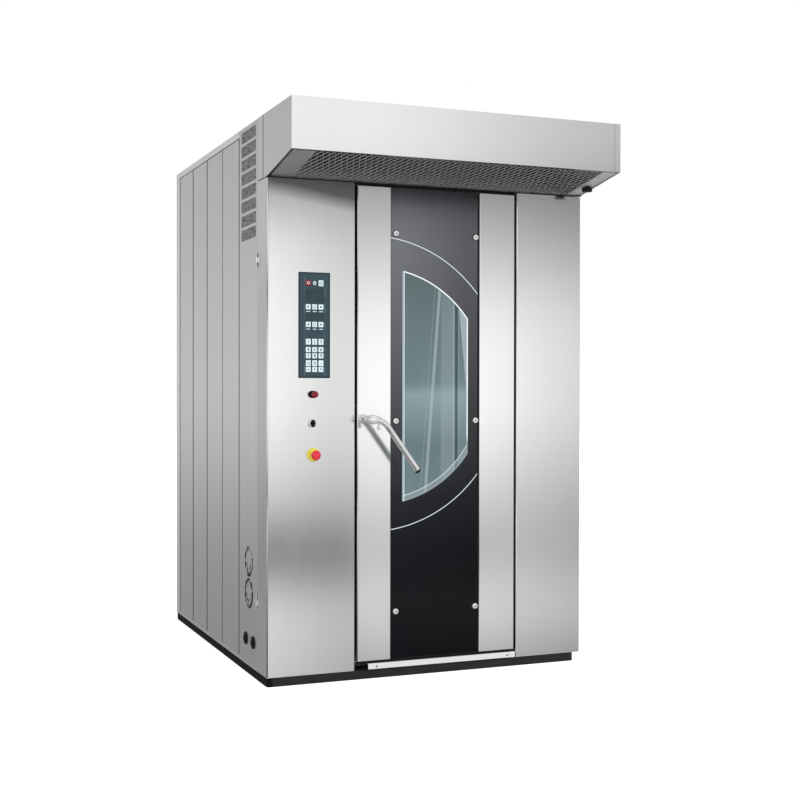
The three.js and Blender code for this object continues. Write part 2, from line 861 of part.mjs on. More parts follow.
function makeRightJamb() {
  const edge = columnLeft - seat;
  const section = [
    [doorwayRight, jambFace],
    [edge, jambFace],
    [edge, jambFace + wall],
    [doorwayRight + wall, jambFace + wall],
    [doorwayRight + wall, chamberFront - wall],
    [chamberRight, chamberFront - wall],
    [chamberRight, chamberFront],
    [doorwayRight, chamberFront],
  ];
  return prism(section, 'z', floorTop + seat, doorwayTop);
}

function makeLatchKeeper() {
  const face = controlWidth + jambStandoff - seat;
  const plate = latchSlot(face - keeperThickness, face, keeperMargin);
  return cut(plate, [latchSlot(face - keeperThickness - past, face + past, keeperPlay)]);
}

function makeLowerHinge() {
  const left = pivotX - hingePlateWidth / 2;
  const plate = block(
    [left, left + hingePlateWidth],
    [sillProud / 2, jambFace - hingePlateSetback],
    [plinthHeight + seat, sillTop - wall - seat],
  );
  const top = doorBottom - seat;
  const collar = rod('z', [pivotX, pivotDepth], pivotCollarRadius, plinthHeight + seat, top);
  const pin = rod('z', [pivotX, pivotDepth], pivotRadius, plinthHeight + past, doorBottom + pivotEngage);
  return join([plate, collar, pin]);
}

function makeUpperHinge() {
  const left = pivotX - hingePlateWidth / 2;
  const top = headerBottom - seat;
  const plate = block(
    [left, left + hingePlateWidth],
    [sillProud / 2, jambFace - hingePlateSetback],
    [top - hingePlateThickness, top],
  );
  const pin = rod('z', [pivotX, pivotDepth], pivotRadius, doorTop - pivotEngage, top - past);
  return plate.add(pin);
}

// ------------------------------------------------------------------ insulation and chamber
function shaftHole(axis, centre, radius, from, to) {
  return rod(axis, centre, radius + play * 4, from, to, 20);
}

function makeInsulation() {
  const side = [shellFront, shellRear];
  const rise = [floorTop + seat, shellTop];
  const pieces = [
    block([shellLeft, shellLeft + insulation], side, rise),
    block([shellRight - insulation, shellRight], side, rise),
    block([shellLeft, shellRight], [shellRearInner, shellRear], rise),
    block([shellLeft, shellRight], [chamberFront + seat, shellRear], [ceilingTop + seat, shellTop]),
    block([shellLeft, doorwayLeft - wall - seat], [shellFront, chamberFront - wall - seat], rise),
    block([doorwayRight + wall + seat, shellRight], [shellFront, chamberFront - wall - seat], rise),
  ];
  return cut(join(pieces), [
    shaftHole('z', [hookX, hookY], hookShaftRadius, chamberTop, shellTop + past),
    shaftHole('y', [hookX, fanHeight], fanShaftRadius, shellRearInner - past, shellRear + past),
  ]);
}

const linerBottom = floorTop + seat;
const linerTop = chamberTop - seat;
const plenumLeft = shellLeft + insulation + seat;
const plenumRight = shellRight - insulation - seat;

function makeChamberWallLeft() {
  const depth = [chamberFront + seat, chamberRear - seat];
  const plate = block([chamberLeft - wall, chamberLeft], depth, [linerBottom, linerTop]);
  const slots = [];
  for (let row = 0; row < airSlotCount; row += 1) {
    const bottom = airSlotBottom + row * airSlotPitch;
    slots.push(block(
      [chamberLeft - wall - past, chamberLeft + past],
      [hookY - airSlotLength / 2, hookY + airSlotLength / 2],
      [bottom, bottom + airSlotHeight],
    ));
  }
  return cut(plate, slots);
}

function makeChamberWallRight() {
  const depth = [chamberFront + seat, chamberRear - seat];
  const plate = block([chamberRight, chamberRight + wall], depth, [linerBottom, linerTop]);
  const across = outletColumns * outletWidth + (outletColumns - 1) * outletGapY;
  const windows = [];
  for (let column = 0; column < outletColumns; column += 1) {
    for (let row = 0; row < outletRows; row += 1) {
      const front = hookY - across / 2 + column * (outletWidth + outletGapY);
      const bottom = outletBottom + row * (outletHeight + outletGapZ);
      windows.push(block(
        [chamberRight - past, chamberRight + wall + past],
        [front, front + outletWidth],
        [bottom, bottom + outletHeight],
      ));
    }
  }
  return cut(plate, windows);
}

function makeChamberWallRear() {
  const plate = block(
    [chamberLeft - wall, chamberRight + wall],
    [chamberRear, chamberRear + wall],
    [linerBottom, linerTop],
  );
  const depth = [chamberRear - past, chamberRear + wall + past];
  return cut(plate, [rod('y', [hookX, fanHeight], fanInletRadius, ...depth, 28)]);
}

function makeChamberCeiling() {
  const plate = block(
    [plenumLeft, plenumRight],
    [chamberFront + seat, shellRearInner - seat],
    [chamberTop, ceilingTop],
  );
  const rise = [chamberTop - past, ceilingTop + past];
  return cut(plate, [shaftHole('z', [hookX, hookY], hookShaftRadius, ...rise)]);
}

// ------------------------------------------------------------------ rack rotation
// The channel takes the mushroom head of the rolling rack, lifts it and turns it.
function makeRackHook() {
  const bottom = chamberTop - hookDrop;
  const top = bottom + hookHeight;
  const half = hookWidth / 2;
  const inner = half - hookWall;
  const gap = hookSlot / 2;
  const section = [
    [hookX - half, bottom],
    [hookX - gap, bottom],
    [hookX - gap, bottom + hookWall],
    [hookX - inner, bottom + hookWall],
    [hookX - inner, top - hookWall],
    [hookX + inner, top - hookWall],
    [hookX + inner, bottom + hookWall],
    [hookX + gap, bottom + hookWall],
    [hookX + gap, bottom],
    [hookX + half, bottom],
    [hookX + half, top],
    [hookX - half, top],
  ];
  const channel = prism(section, 'y', hookY - hookLength / 2, hookY + hookLength / 2);
  const flange = rod('z', [hookX, hookY], hookFlangeRadius, top - past, top + hookFlangeThickness, 24);
  const shaft = rod('z', [hookX, hookY], hookShaftRadius, top, shellTop + hookShaftEngage);
  return join([channel, flange, shaft]);
}

function ribbedMotor(axis, centre, radius, from, to) {
  const profile = [[0, from], [radius * 0.8, from], [radius * 0.8, from + radius * 0.2]];
  const pitch = (to - from - radius * 0.6) / motorRibs;
  for (let rib = 0; rib < motorRibs; rib += 1) {
    const start = from + radius * 0.2 + rib * pitch;
    profile.push([radius, start], [radius, start + pitch / 2]);
    profile.push([radius - motorRibDepth, start + pitch / 2], [radius - motorRibDepth, start + pitch]);
  }
  const capStart = to - radius * 0.4;
  profile.push([radius * 0.9, capStart], [radius * 0.9, to - motorRibDepth], [radius * 0.82, to], [0, to]);
  return turned(axis, centre, profile, 14);
}

function makeRackGearmotor() {
  const bottom = shellTop + seat;
  const half = gearboxSize / 2;
  const box = prism(
    roundedRectangle([hookX - half, hookX + half], [hookY - half, hookY + half], half / 4),
    'z',
    bottom,
    bottom + gearboxHeight,
    3,
  );
  const middle = bottom + motorRadius + motorRibDepth;
  const motorStart = hookX + half - 1;
  const motor = ribbedMotor('x', [hookY, middle], motorRadius, motorStart, motorStart + motorLength);
  const boreTop = shellTop + hookShaftEngage + boreRoom;
  const bore = rod('z', [hookX, hookY], hookShaftRadius + play, bottom - past, boreTop);
  return box.add(motor).subtract(bore);
}

// ------------------------------------------------------------------ fan and heaters
const fanFront = chamberRear + wall + fanGap;

// One backward-curved blade: its middle line sweeps as it runs out from the root to the rim.
function fanBlade(angle) {
  const steps = 3;
  const outerFace = [];
  const innerFace = [];
  for (let step = 0; step <= steps; step += 1) {
    const share = step / steps;
    const radius = fanBladeInner + (fanRadius - fanRim - fanBladeInner) * share;
    const turn = angle + fanBladeLean * share * share;
    const half = fanBladeThickness / 2 / radius;
    outerFace.push([turn + half, radius]);
    innerFace.push([turn - half, radius]);
  }
  const outline = [...outerFace, ...innerFace.reverse()].map(([turn, radius]) => [
    hookX + radius * Math.cos(turn),
    fanHeight + radius * Math.sin(turn),
  ]);
  return prism(outline, 'y', fanFront + past, fanFront + fanWidth - past);
}

function makeFanImpeller() {
  const centre = [hookX, fanHeight];
  const rear = fanFront + fanWidth;
  const plate = rod('y', centre, fanRadius, rear - fanPlate, rear, 24);
  const ring = rod('y', centre, fanRadius, fanFront, fanFront + fanPlate / 2, 24)
    .subtract(rod('y', centre, fanInletRadius, fanFront - past, fanFront + fanPlate, 24));
  const hub = rod('y', centre, fanHubRadius, rear - fanHubLength, rear, 16);
  const shaftFront = rear - fanHubLength - fanShaftNose;
  const shaft = rod('y', centre, fanShaftRadius, shaftFront, shellRear + fanShaftEngage, 16);
  const blades = [];
  for (let blade = 0; blade < fanBladeCount; blade += 1) {
    blades.push(fanBlade((blade / fanBladeCount) * Math.PI * 2));
  }
  return join([plate, ring, hub, shaft, ...blades]);
}

function makeFanMotor() {
  const front = shellRear + seat;
  const body = ribbedMotor('y', [hookX, fanHeight], fanMotorRadius, front, front + fanMotorLength);
  const boreEnd = shellRear + fanShaftEngage + boreRoom;
  return cut(body, [rod('y', [hookX, fanHeight], fanShaftRadius + play, front - past, boreEnd)]);
}

// U-bent tubular heaters below the fan, on a terminal plate against the right-hand insulation.
function makeHeatingElements() {
  const plateRight = plenumRight;
  const plateLeft = plateRight - heaterPlateThickness;
  const middleY = fanFront + heaterPlateWidth / 2;
  const bendX = heaterLeft + heaterBend;
  const top = heaterBottom + (heaterCount - 1) * heaterSpacing + heaterBend * 2;
  const pieces = [block(
    [plateLeft, plateRight],
    [middleY - heaterPlateWidth / 2, middleY + heaterPlateWidth / 2],
    [heaterBottom - heaterBend, top + heaterBend],
  )];
  for (let heater = 0; heater < heaterCount; heater += 1) {
    const low = heaterBottom + heater * heaterSpacing;
    const ring = new THREE.TorusGeometry(heaterBend, heaterRadius, 6, 16);
    ring.rotateX(Math.PI / 2).translate(bendX, middleY, low + heaterBend);
    const reach = heaterBend + heaterRadius + 1;
    const half = block(
      [bendX - reach, bendX],
      [middleY - reach, middleY + reach],
      [low + heaterBend - reach, low + heaterBend + reach],
    );
    pieces.push(solid(ring).intersect(half));
    for (const height of [low, low + heaterBend * 2]) {
      pieces.push(rod('x', [middleY, height], heaterRadius, bendX - heaterLap, plateLeft + past, 6));
    }
  }
  return join(pieces);
}

// ------------------------------------------------------------------ door
function windowOutline(grow) {
  const radius = windowRadius + grow;
  const left = Math.acos((windowLeft - grow - arcX) / radius);
  const right = Math.acos((windowRight + grow - arcX) / radius);
  const shape = new THREE.Shape();
  shape.absarc(arcX, arcZ, radius, -left, -right);
  shape.absarc(arcX, arcZ, radius, right, left);
  return shape;
}

const boltHeights = [doorBottom + boltFromBottom, boltMiddle, doorTop - boltFromTop];
const boltPlaces = boltHeights.flatMap((height) => [
  [glassLeft + boltInsetLeft, height],
  [glassRight - boltInsetRight, height],
]);
const coreFront = skin + seat;
const coreRear = doorCoreDepth;

function makeDoorCore() {
  const inset = skin + seat;
  const edges = [doorLeft + inset, glassLeft - inset, glassRight + inset, doorRight - inset];
  const shoulder = coreFront + fold;
  const pocket = glassRecess + glassThickness + seat;
  const section = [
    [edges[0], coreRear],
    [edges[0], shoulder],
    [edges[0] + fold, coreFront],
    [edges[1] - fold, coreFront],
    [edges[1], shoulder],
    [edges[1], pocket],
    [edges[2], pocket],
    [edges[2], shoulder],
    [edges[2] + fold, coreFront],
    [edges[3] - fold, coreFront],
    [edges[3], shoulder],
    [edges[3], coreRear],
  ];
  const body = prism(section, 'z', doorBottom, doorTop);
  const tunnel = prism(windowOutline(windowTube + seat), 'y', 0, coreRear + past);
  const latchPocket = block(
    [doorLeft, spindleX + camHubRadius + camClearance],
    [camDepth - camThickness / 2 - camClearance, camDepth + camThickness / 2 + camClearance],
    [spindleZ - camHubRadius - camClearance, spindleZ + camLength + camWidth / 2],
  );
  const spindleBore = rod('y', [spindleX, spindleZ], spindleRadius + play, 0, camDepth);
  const pivotReach = pivotEngage + boreRoom;
  const pivotBores = [
    rod('z', [pivotX, pivotDepth], pivotRadius + play, doorBottom - past, doorBottom + pivotReach),
    rod('z', [pivotX, pivotDepth], pivotRadius + play, doorTop - pivotReach, doorTop + past),
  ];
  const boltHoles = boltPlaces.map((place) =>
    rod('y', place, boltRadius + play, 0, glassRecess + boltLength + boreRoom, 8));
  return cut(body, [tunnel, latchPocket, spindleBore, ...pivotBores, ...boltHoles]);
}

function makeLeftStile() {
  const section = [
    [doorLeft, stileReturn],
    [doorLeft, 0],
    [glassLeft, 0],
    [glassLeft, stileGlassReturn],
  ];
  const sheet = prism(foldedSheet(section, skin), 'z', doorBottom, doorTop);
  return cut(sheet, [rod('y', [spindleX, spindleZ], spindleRadius + play, -past, skin + past)]);
}

function makeRightStile() {
  const section = [
    [glassRight, stileGlassReturn],
    [glassRight, 0],
    [doorRight, 0],
    [doorRight, stileReturn],
  ];
  return prism(foldedSheet(section, skin), 'z', doorBottom, doorTop);
}

function makeDoorGlass() {
  const pane = block(
    [glassLeft + seat * 2, glassRight - seat * 2],
    [glassRecess, glassRecess + glassThickness],
    [doorBottom, doorTop],
  );
  return cut(pane, boltPlaces.map((place) =>
    rod('y', place, boltRadius + play, glassRecess - past, glassRecess + glassThickness + past, 8)));
}

// Domed cap bolt with its shank through the glass.
function makeGlassBolt(place) {
  const back = glassRecess - seat;
  const front = back - boltHeadHeight;
  return turned('y', place, [
    [0, front],
    [boltHeadRadius * 0.6, front + boltHeadHeight * 0.1],
    [boltHeadRadius, front + boltHeadHeight * 0.6],
    [boltHeadRadius, back],
    [boltRadius, back],
    [boltRadius, glassRecess + boltLength],
    [0, glassRecess + boltLength],
  ], 12);
}

function makeWindowFrame() {
  const front = glassRecess + glassThickness + seat * 2;
  const tube = prism(windowOutline(windowTube), 'y', front, coreRear);
  return tube.subtract(prism(windowOutline(0), 'y', front - past, coreRear + past));
}

const linerFront = coreRear + seat;

// Inner pan of the door, open towards the core, with a collar round the window.
function makeDoorLiner() {
  const [left, right] = [doorwayLeft + linerMargin, doorwayRight - linerMargin];
  const [low, high] = [floorTop + linerSill, doorwayTop - linerMargin - seat];
  const rear = linerFront + linerThickness;
  const pan = block([left, right], [linerFront, rear], [low, high]).subtract(block(
    [left + wall, right - wall],
    [linerFront - past, rear - wall],
    [low + wall, high - wall],
  ));
  const collar = prism(windowOutline(wall), 'y', linerFront, rear);
  return pan.add(collar).subtract(prism(windowOutline(0), 'y', linerFront - past, rear + past));
}

function makeInnerGlass() {
  const front = linerFront + innerGlassSetback;
  return prism(windowOutline(-seat), 'y', front, front + innerGlassThickness);
}

function makeDoorSeal() {
  const outerLeft = doorwayLeft - sealBeyondLeft;
  const outerRight = doorwayRight + sealBeyondRight;
  const outerTop = doorwayTop + sealBeyondTop;
  const bottom = sillTop + sweepLift;
  const depth = [linerFront, linerFront + sealDepth];
  const outer = block([outerLeft, outerRight], depth, [bottom, outerTop]);
  const inner = block(
    [outerLeft + sealWidth, outerRight - sealWidth],
    [linerFront - past, linerFront + sealDepth + past],
    [bottom + sweepHeight, outerTop - sealWidth],
  );
  return outer.subtract(inner);
}

// ------------------------------------------------------------------ lever handle and latch
function makeHandleBase() {
  return turned('y', [spindleX, spindleZ], [
    [spindleRadius + play, -seat],
    [handleFlangeRadius, -seat],
    [handleFlangeRadius, -handleFlangeThickness + handleBevel],
    [handleFlangeRadius - handleBevel, -handleFlangeThickness],
    [handleBarrelRadius, -handleFlangeThickness],
    [handleBarrelRadius, -handleBarrelReach + handleBevel],
    [handleBarrelRadius - handleBevel, -handleBarrelReach],
    [spindleRadius + play, -handleBarrelReach],
    [spindleRadius + play, -seat],
  ], 20);
}

// Direction and length of the lever's straight grip, in the plane of the front.
const grip = new THREE.Vector2(leverRun - leverElbowRun, leverElbowDrop - leverDrop);
const gripLength = grip.length() - leverCapLength - seat;
const gripAngle = Math.atan2(grip.y, grip.x);

function alongGrip(profile, sides) {
  const points = profile.map(([radius, place]) => new THREE.Vector2(radius, place));
  const lathe = new THREE.LatheGeometry(points, sides);
  lathe.rotateZ(-Math.PI / 2).rotateY(-gripAngle);
  return solid(lathe.translate(spindleX + leverElbowRun, -leverPlane, spindleZ - leverElbowDrop));
}

function makeHandleLever() {
  const centre = [spindleX, spindleZ];
  const hubRear = -handleBarrelReach - seat;
  const hubFront = hubRear - leverHubLength;
  const hub = turned('y', centre, [
    [0, hubRear],
    [leverHubRadius, hubRear],
    [leverHubRadius, hubFront + leverBevel],
    [leverHubRadius - leverBevel, hubFront],
    [0, hubFront],
  ], 24);
  const spindle = rod('y', centre, spindleRadius, hubRear - past, camDepth + camThickness / 2, 20);
  const armStart = new THREE.Vector3(spindleX, -leverPlane, spindleZ);
  const armEnd = new THREE.Vector3(spindleX + leverElbowRun, -leverPlane, spindleZ - leverElbowDrop);
  const armVector = armEnd.clone().sub(armStart);
  const arm = new THREE.CylinderGeometry(leverRodRadius, leverRodRadius, armVector.length(), 16);
  arm.translate(0, armVector.length() / 2, 0);
  arm.applyQuaternion(new THREE.Quaternion().setFromUnitVectors(unitY, armVector.normalize()));
  arm.translate(armStart.x, armStart.y, armStart.z);
  const elbow = new THREE.SphereGeometry(leverRodRadius * 1.04, 14, 8);
  elbow.translate(armEnd.x, armEnd.y, armEnd.z);
  const rodProfile = [[0, 0], [leverRodRadius, 0], [leverRodRadius, gripLength], [0, gripLength]];
  const boltCentre = [spindleX + clampBoltX, -leverPlane];
  const clampBolt = rod(
    'z',
    boltCentre,
    clampBoltRadius,
    spindleZ - clampBoltDown,
    spindleZ + clampBoltUp,
    12,
  );
  const lowNut = spindleZ - clampBoltDown + clampNutInset;
  const highNut = spindleZ + clampBoltUp - clampNutInset - clampNutLength;
  const nuts = [lowNut, highNut].map((low) =>
    rod('z', boltCentre, clampNutRadius, low, low + clampNutLength, 6));
  return join([hub, spindle, solid(arm), solid(elbow), alongGrip(rodProfile, 16), clampBolt, ...nuts]);
}

function makeLeverCap() {
  const start = gripLength + seat;
  const end = start + leverCapLength;
  return alongGrip([
    [0, start],
    [leverRodRadius, start],
    [leverRodRadius, end - leverBevel],
    [leverRodRadius * 0.7, end],
    [0, end],
  ], 16);
}

// The tongue stands up inside the door's edge while the lever is released. Raising the lever turns
// it to the left, past the edge of the jamb and into the keeper that the jamb carries.
function makeLatchCam() {
  const depth = [camDepth - camThickness / 2, camDepth + camThickness / 2];
  const hub = rod('y', [spindleX, spindleZ], camHubRadius, ...depth);
  const tip = spindleX - camLength;
  const half = camWidth / 2;
  const spindle = new THREE.Vector2(spindleX, spindleZ);
  const released = -THREE.MathUtils.degToRad(leverTurn);
  const locked = [
    [spindleX, spindleZ - half],
    [spindleX, spindleZ + half],
    [tip, spindleZ + half],
    [tip - half / 2, spindleZ],
    [tip, spindleZ - half],
  ];
  const outline = locked.map(([x, z]) =>
    new THREE.Vector2(x, z).rotateAround(spindle, released).toArray());
  const tongue = prism(outline, 'y', ...depth);
  const bore = rod('y', [spindleX, spindleZ], spindleRadius + seat, depth[0] - past, depth[1] + past);
  return hub.add(tongue).subtract(bore);
}

// ------------------------------------------------------------------ control cover
// A switch body behind the sheet with a raised bezel in front, bored for the stem.
function switchBody([x, z], bezelRadius, height) {
  const half = switchBodyWidth / 2;
  const body = block([x - half, x + half], [skin / 2, switchBodyDepth], [z - half, z + half]);
  return body.add(rod('y', [x, z], bezelRadius, -height, skin, 24));
}

function makeControlCover() {
  const section = [
    [0, controlDepth - seat],
    [0, 0],
    [controlWidth, 0],
    [controlWidth, controlEdge],
  ];
  const sheet = prism(foldedSheet(section, skin), 'z', frontBottom, frontTop);
  const bodies = [
    switchBody([resetX, resetZ], resetRadius + play + bezelWall, resetCollar),
    switchBody([selectorX, selectorZ], selectorRadius, bezelHeight),
  ];
  const open = -bezelHeight - past;
  const stemEnd = stemLength + boreRoom;
  const bores = [
    rod('y', [resetX, resetZ], stemRadius + play, -past, stemEnd + resetTravel, 16),
    rod('y', [resetX, resetZ], resetRadius + play, -resetCollar - past, 0, 24),
    rod('y', [selectorX, selectorZ], stemRadius + play, open, stemEnd, 16),
    rod('y', [stopX, stopZ], stopBarrelRadius + seat, -past, skin + past, 24),
  ];
  return cut(join([sheet, ...bodies, ...knuckleHeights.map(movingKnuckle)]), bores);
}

function makeKeypad() {
  const outline = roundedRectangle(
    [keypadLeft, keypadLeft + keypadWidth],
    [keypadBottom, keypadBottom + keypadHeight],
    keypadCorner,
  );
  return prism(outline, 'y', -seat - keypadThickness, -seat, 3);
}

function makeStopBase() {
  const centre = [stopX, stopZ];
  const plateFront = -seat - stopPlateThickness;
  const plate = turned('y', centre, [
    [0, -seat],
    [stopPlateRadius, -seat],
    [stopPlateRadius, plateFront + stopPlateBevel],
    [stopPlateRadius - stopPlateBevel, plateFront],
    [0, plateFront],
  ], 28);
  const barrel = rod('y', centre, stopBarrelRadius, -seat - past, skin + seat + past);
  const half = switchBodyWidth / 2;
  const body = block(
    [stopX - half, stopX + half],
    [skin + seat, switchBodyDepth],
    [stopZ - half, stopZ + half],
  );
  const boreEnd = stemLength + stopTravel + boreRoom;
  const bore = rod('y', centre, stopStemRadius + play, plateFront - past, boreEnd, 20);
  return join([plate, barrel, body]).subtract(bore);
}

function makeStopButton() {
  const back = -seat - stopPlateThickness - stopTravel - stopClearance;
  const front = back - stopHeadHeight;
  return turned('y', [stopX, stopZ], [
    [0, stemLength],
    [stopStemRadius, stemLength],
    [stopStemRadius, back + stopNeck],
    [stopHeadRadius * 0.8, back],
    [stopHeadRadius, back - stopHeadEdge],
    [stopHeadRadius, front + stopHeadDome],
    [stopHeadRadius * 0.92, front + stopHeadDome * 0.4],
    [stopHeadRadius * 0.7, front],
    [0, front],
  ], 24);
}

function makeSelectorKnob() {
  const back = -bezelHeight - seat;
  const front = back - selectorReach;
  const gripHalf = selectorRadius - selectorGripInset;
  const body = turned('y', [selectorX, selectorZ], [
    [0, stemLength],
    [stemRadius, stemLength],
    [stemRadius, back],
    [selectorRadius, back],
    [selectorRadius, back - selectorSkirt + selectorBevel],
    [selectorRadius - selectorBevel, back - selectorSkirt],
    [0, back - selectorSkirt],
  ], 24);
  const grip = block(
    [selectorX - selectorGripWidth / 2, selectorX + selectorGripWidth / 2],
    [front, back - selectorSkirt + past],
    [selectorZ - gripHalf, selectorZ + gripHalf],
  );
  return body.add(grip);
}

function makeResetButton() {
  const front = -resetReach;
  const back = -resetTravel - resetClearance;
  return turned('y', [resetX, resetZ], [
    [0, stemLength],
    [stemRadius, stemLength],
    [stemRadius, back],
    [resetRadius, back],
    [resetRadius, front + resetBevel],
    [resetRadius - resetBevel, front],
    [0, front],
  ], 24);
}

// ------------------------------------------------------------------ fittings
function makeVentMesh() {
  const half = ventSlotWidth / 2 + ventMeshMargin;
  return block(
    [skin + seat, skin + seat + ventMeshThickness],
    [ventMiddle - half, ventMiddle + half],
    [ventBottom - ventMeshMargin, ventTop + ventMeshMargin],
  );
}

// Cable gland: thread through the panel, hexagon and domed nut outside.
function makeCableGland(depth) {
  const centre = [depth, glandHeight];
  const flange = turned('x', centre, [
    [cableBoreRadius, -seat],
    [glandFlangeRadius, -seat],
    [glandFlangeRadius, -glandReach * 0.35],
    [cableBoreRadius, -glandReach * 0.35],
    [cableBoreRadius, -seat],
  ], 6);
  const nut = turned('x', centre, [
    [cableBoreRadius, -glandReach * 0.3],
    [glandFlangeRadius * 0.82, -glandReach * 0.3],
    [glandFlangeRadius * 0.8, -glandReach * 0.75],
    [glandFlangeRadius * 0.6, -glandReach],
    [cableBoreRadius, -glandReach],
    [cableBoreRadius, -glandReach * 0.3],
  ], 14);
  const thread = turned('x', centre, [
    [cableBoreRadius, -seat - past],
    [glandThreadRadius, -seat - past],
    [glandThreadRadius, glandTail],
    [cableBoreRadius, glandTail],
    [cableBoreRadius, -seat - past],
  ], 14);
  return join([flange, nut, thread]);
}

// Mounting plate with a drive, a row of contactors and a terminal strip.
function makeElectricsPlate() {
  const rear = shellFront - seat;
  const front = rear - plateThickness;
  const left = platePadding;
  const right = controlWidth - platePadding;
  const middle = (left + right) / 2;
  const top = frontTop - plateFromTop;
  const pieces = [block([left, right], [front, rear], [frontBottom + plateFromBottom, top])];
  const row = (contactorCount - 1) * contactorPitch;
  for (let index = 0; index < contactorCount; index += 1) {
    const x = middle - row / 2 + index * contactorPitch;
    pieces.push(block(
      [x - contactorWidth / 2, x + contactorWidth / 2],
      [front - contactorDepth, front + past],
      [contactorBottom, contactorBottom + contactorHeight],
    ));
  }
  pieces.push(block(
    [middle - driveWidth / 2, middle + driveWidth / 2],
    [front - driveDepth, front + past],
    [top - driveDrop, top - driveDrop + driveHeight],
  ));
  pieces.push(block(
    [left + platePadding, right - platePadding],
    [front - terminalDepth, front + past],
    [terminalBottom, terminalBottom + terminalHeight],
  ));
  return join(pieces);
}

// ------------------------------------------------------------------ assembly
function group(name, ...members) {
  const holder = new THREE.Group();
  holder.name = name;
  holder.add(...members);
  return holder;
}

function repeated(count, name, make, material) {
  const members = [];
  for (let index = 0; index < count; index += 1) {
    members.push(named(`${name}_${index + 1}`, make(index), material));
  }
  return members;
}

const cabinet = group(
  'cabinet',
  named('plinth', makePlinth(), plinthBlack),
  named('chamber_floor', makeChamberFloor(), brightEdge),
  named('door_sill', makeSill(), brightEdge),
  ...repeated(leftPanelCount, 'left_panel', makeLeftPanel, sideStainless),
  ...repeated(rightPanelCount, 'right_panel', makeRightPanel, sideStainless),
  named('rear_panel', makeRearPanel(), sideStainless),
  named('right_front_panel', makeRightFrontPanel(), stainless),
  named('roof_panel', makeRoof(), sideStainless),
  named('front_header', makeFrontHeader(), stainless),
  named('hood_shell', makeHoodShell(), stainless),
  named('hood_grille', makeHoodGrille(), hoodGrey),
  named('hood_drain_plug', makeDrainPlug(), blackPlastic),
  named('jamb_left', makeLeftJamb(), chamberSteel),
  named('jamb_right', makeRightJamb(), chamberSteel),
  named('latch_keeper', makeLatchKeeper(), castSteel),
  named('hinge_bracket_lower', makeLowerHinge(), castSteel),
  named('hinge_bracket_upper', makeUpperHinge(), castSteel),
  named('insulated_shell', makeInsulation(), mineralWool),
  named('chamber_wall_left', makeChamberWallLeft(), chamberSteel),
  named('chamber_wall_right', makeChamberWallRight(), chamberSteel),
  named('chamber_wall_rear', makeChamberWallRear(), chamberSteel),
  named('chamber_ceiling', makeChamberCeiling(), chamberSteel),
  named('heating_elements', makeHeatingElements(), castSteel),
  named('fan_motor', makeFanMotor(), motorPaint),
  named('rack_gearmotor', makeRackGearmotor(), motorPaint),
  named('vent_mesh', makeVentMesh(), hoodGrey),
  named('cable_gland_front', makeCableGland(glandDepths[0]), blackPlastic),
  named('cable_gland_rear', makeCableGland(glandDepths[1]), blackPlastic),
  named('electrics_plate', makeElectricsPlate(), castSteel),
);

const handle = group(
  'handle',
  named('handle_lever', makeHandleLever(), brightEdge),
  named('handle_end_cap', makeLeverCap(), blackPlastic),
  named('latch_cam', makeLatchCam(), castSteel),
);

const door = group(
  'door',
  named('door_core', makeDoorCore(), chamberSteel),
  named('door_stile_left', makeLeftStile(), stainless),
  named('door_stile_right', makeRightStile(), stainless),
  named('door_glass', makeDoorGlass(), darkGlass),
  ...repeated(boltPlaces.length, 'glass_bolt', (index) => makeGlassBolt(boltPlaces[index]), brightEdge),
  named('window_frame', makeWindowFrame(), chamberSteel),
  named('inner_glass', makeInnerGlass(), clearGlass),
  named('door_liner', makeDoorLiner(), chamberSteel),
  named('door_gasket', makeDoorSeal(), rubber),
  named('handle_base', makeHandleBase(), brightEdge),
  handle,
);

const controlCover = group(
  'control_cover_assembly',
  named('control_cover', makeControlCover(), stainless),
  named('keypad', makeKeypad(), keypadSlate),
  named('estop_base', makeStopBase(), stopYellow),
  named('estop_button', makeStopButton(), stopRed),
  named('selector_knob', makeSelectorKnob(), blackPlastic),
  named('reset_button', makeResetButton(), resetRed),
);

const oven = group(
  'rotating_rack_oven',
  cabinet,
  door,
  controlCover,
  named('rack_hook', makeRackHook(), castSteel),
  named('fan_impeller', makeFanImpeller(), castSteel),
);
oven.position.set(-cabinetWidth / 2, -cabinetDepth / 2, 0);

export default oven;
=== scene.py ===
import json
import math

import bmesh
import bpy
from mathutils import Matrix, Vector


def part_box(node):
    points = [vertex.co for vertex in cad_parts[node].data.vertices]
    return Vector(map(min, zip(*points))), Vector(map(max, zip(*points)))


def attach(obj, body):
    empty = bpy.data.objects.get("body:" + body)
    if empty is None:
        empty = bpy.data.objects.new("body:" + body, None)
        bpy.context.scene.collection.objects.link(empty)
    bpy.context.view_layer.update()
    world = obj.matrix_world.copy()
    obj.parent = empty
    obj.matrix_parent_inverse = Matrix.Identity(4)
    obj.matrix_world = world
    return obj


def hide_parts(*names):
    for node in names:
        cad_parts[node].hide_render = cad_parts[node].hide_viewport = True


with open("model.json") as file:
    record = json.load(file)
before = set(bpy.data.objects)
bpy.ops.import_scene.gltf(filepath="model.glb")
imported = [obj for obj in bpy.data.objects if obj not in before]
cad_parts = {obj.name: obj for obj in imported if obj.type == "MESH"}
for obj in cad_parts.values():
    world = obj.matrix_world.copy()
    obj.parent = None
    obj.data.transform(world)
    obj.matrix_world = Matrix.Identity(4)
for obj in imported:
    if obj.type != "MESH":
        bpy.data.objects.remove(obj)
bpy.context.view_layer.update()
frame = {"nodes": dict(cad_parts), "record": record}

NODES = frame["nodes"]


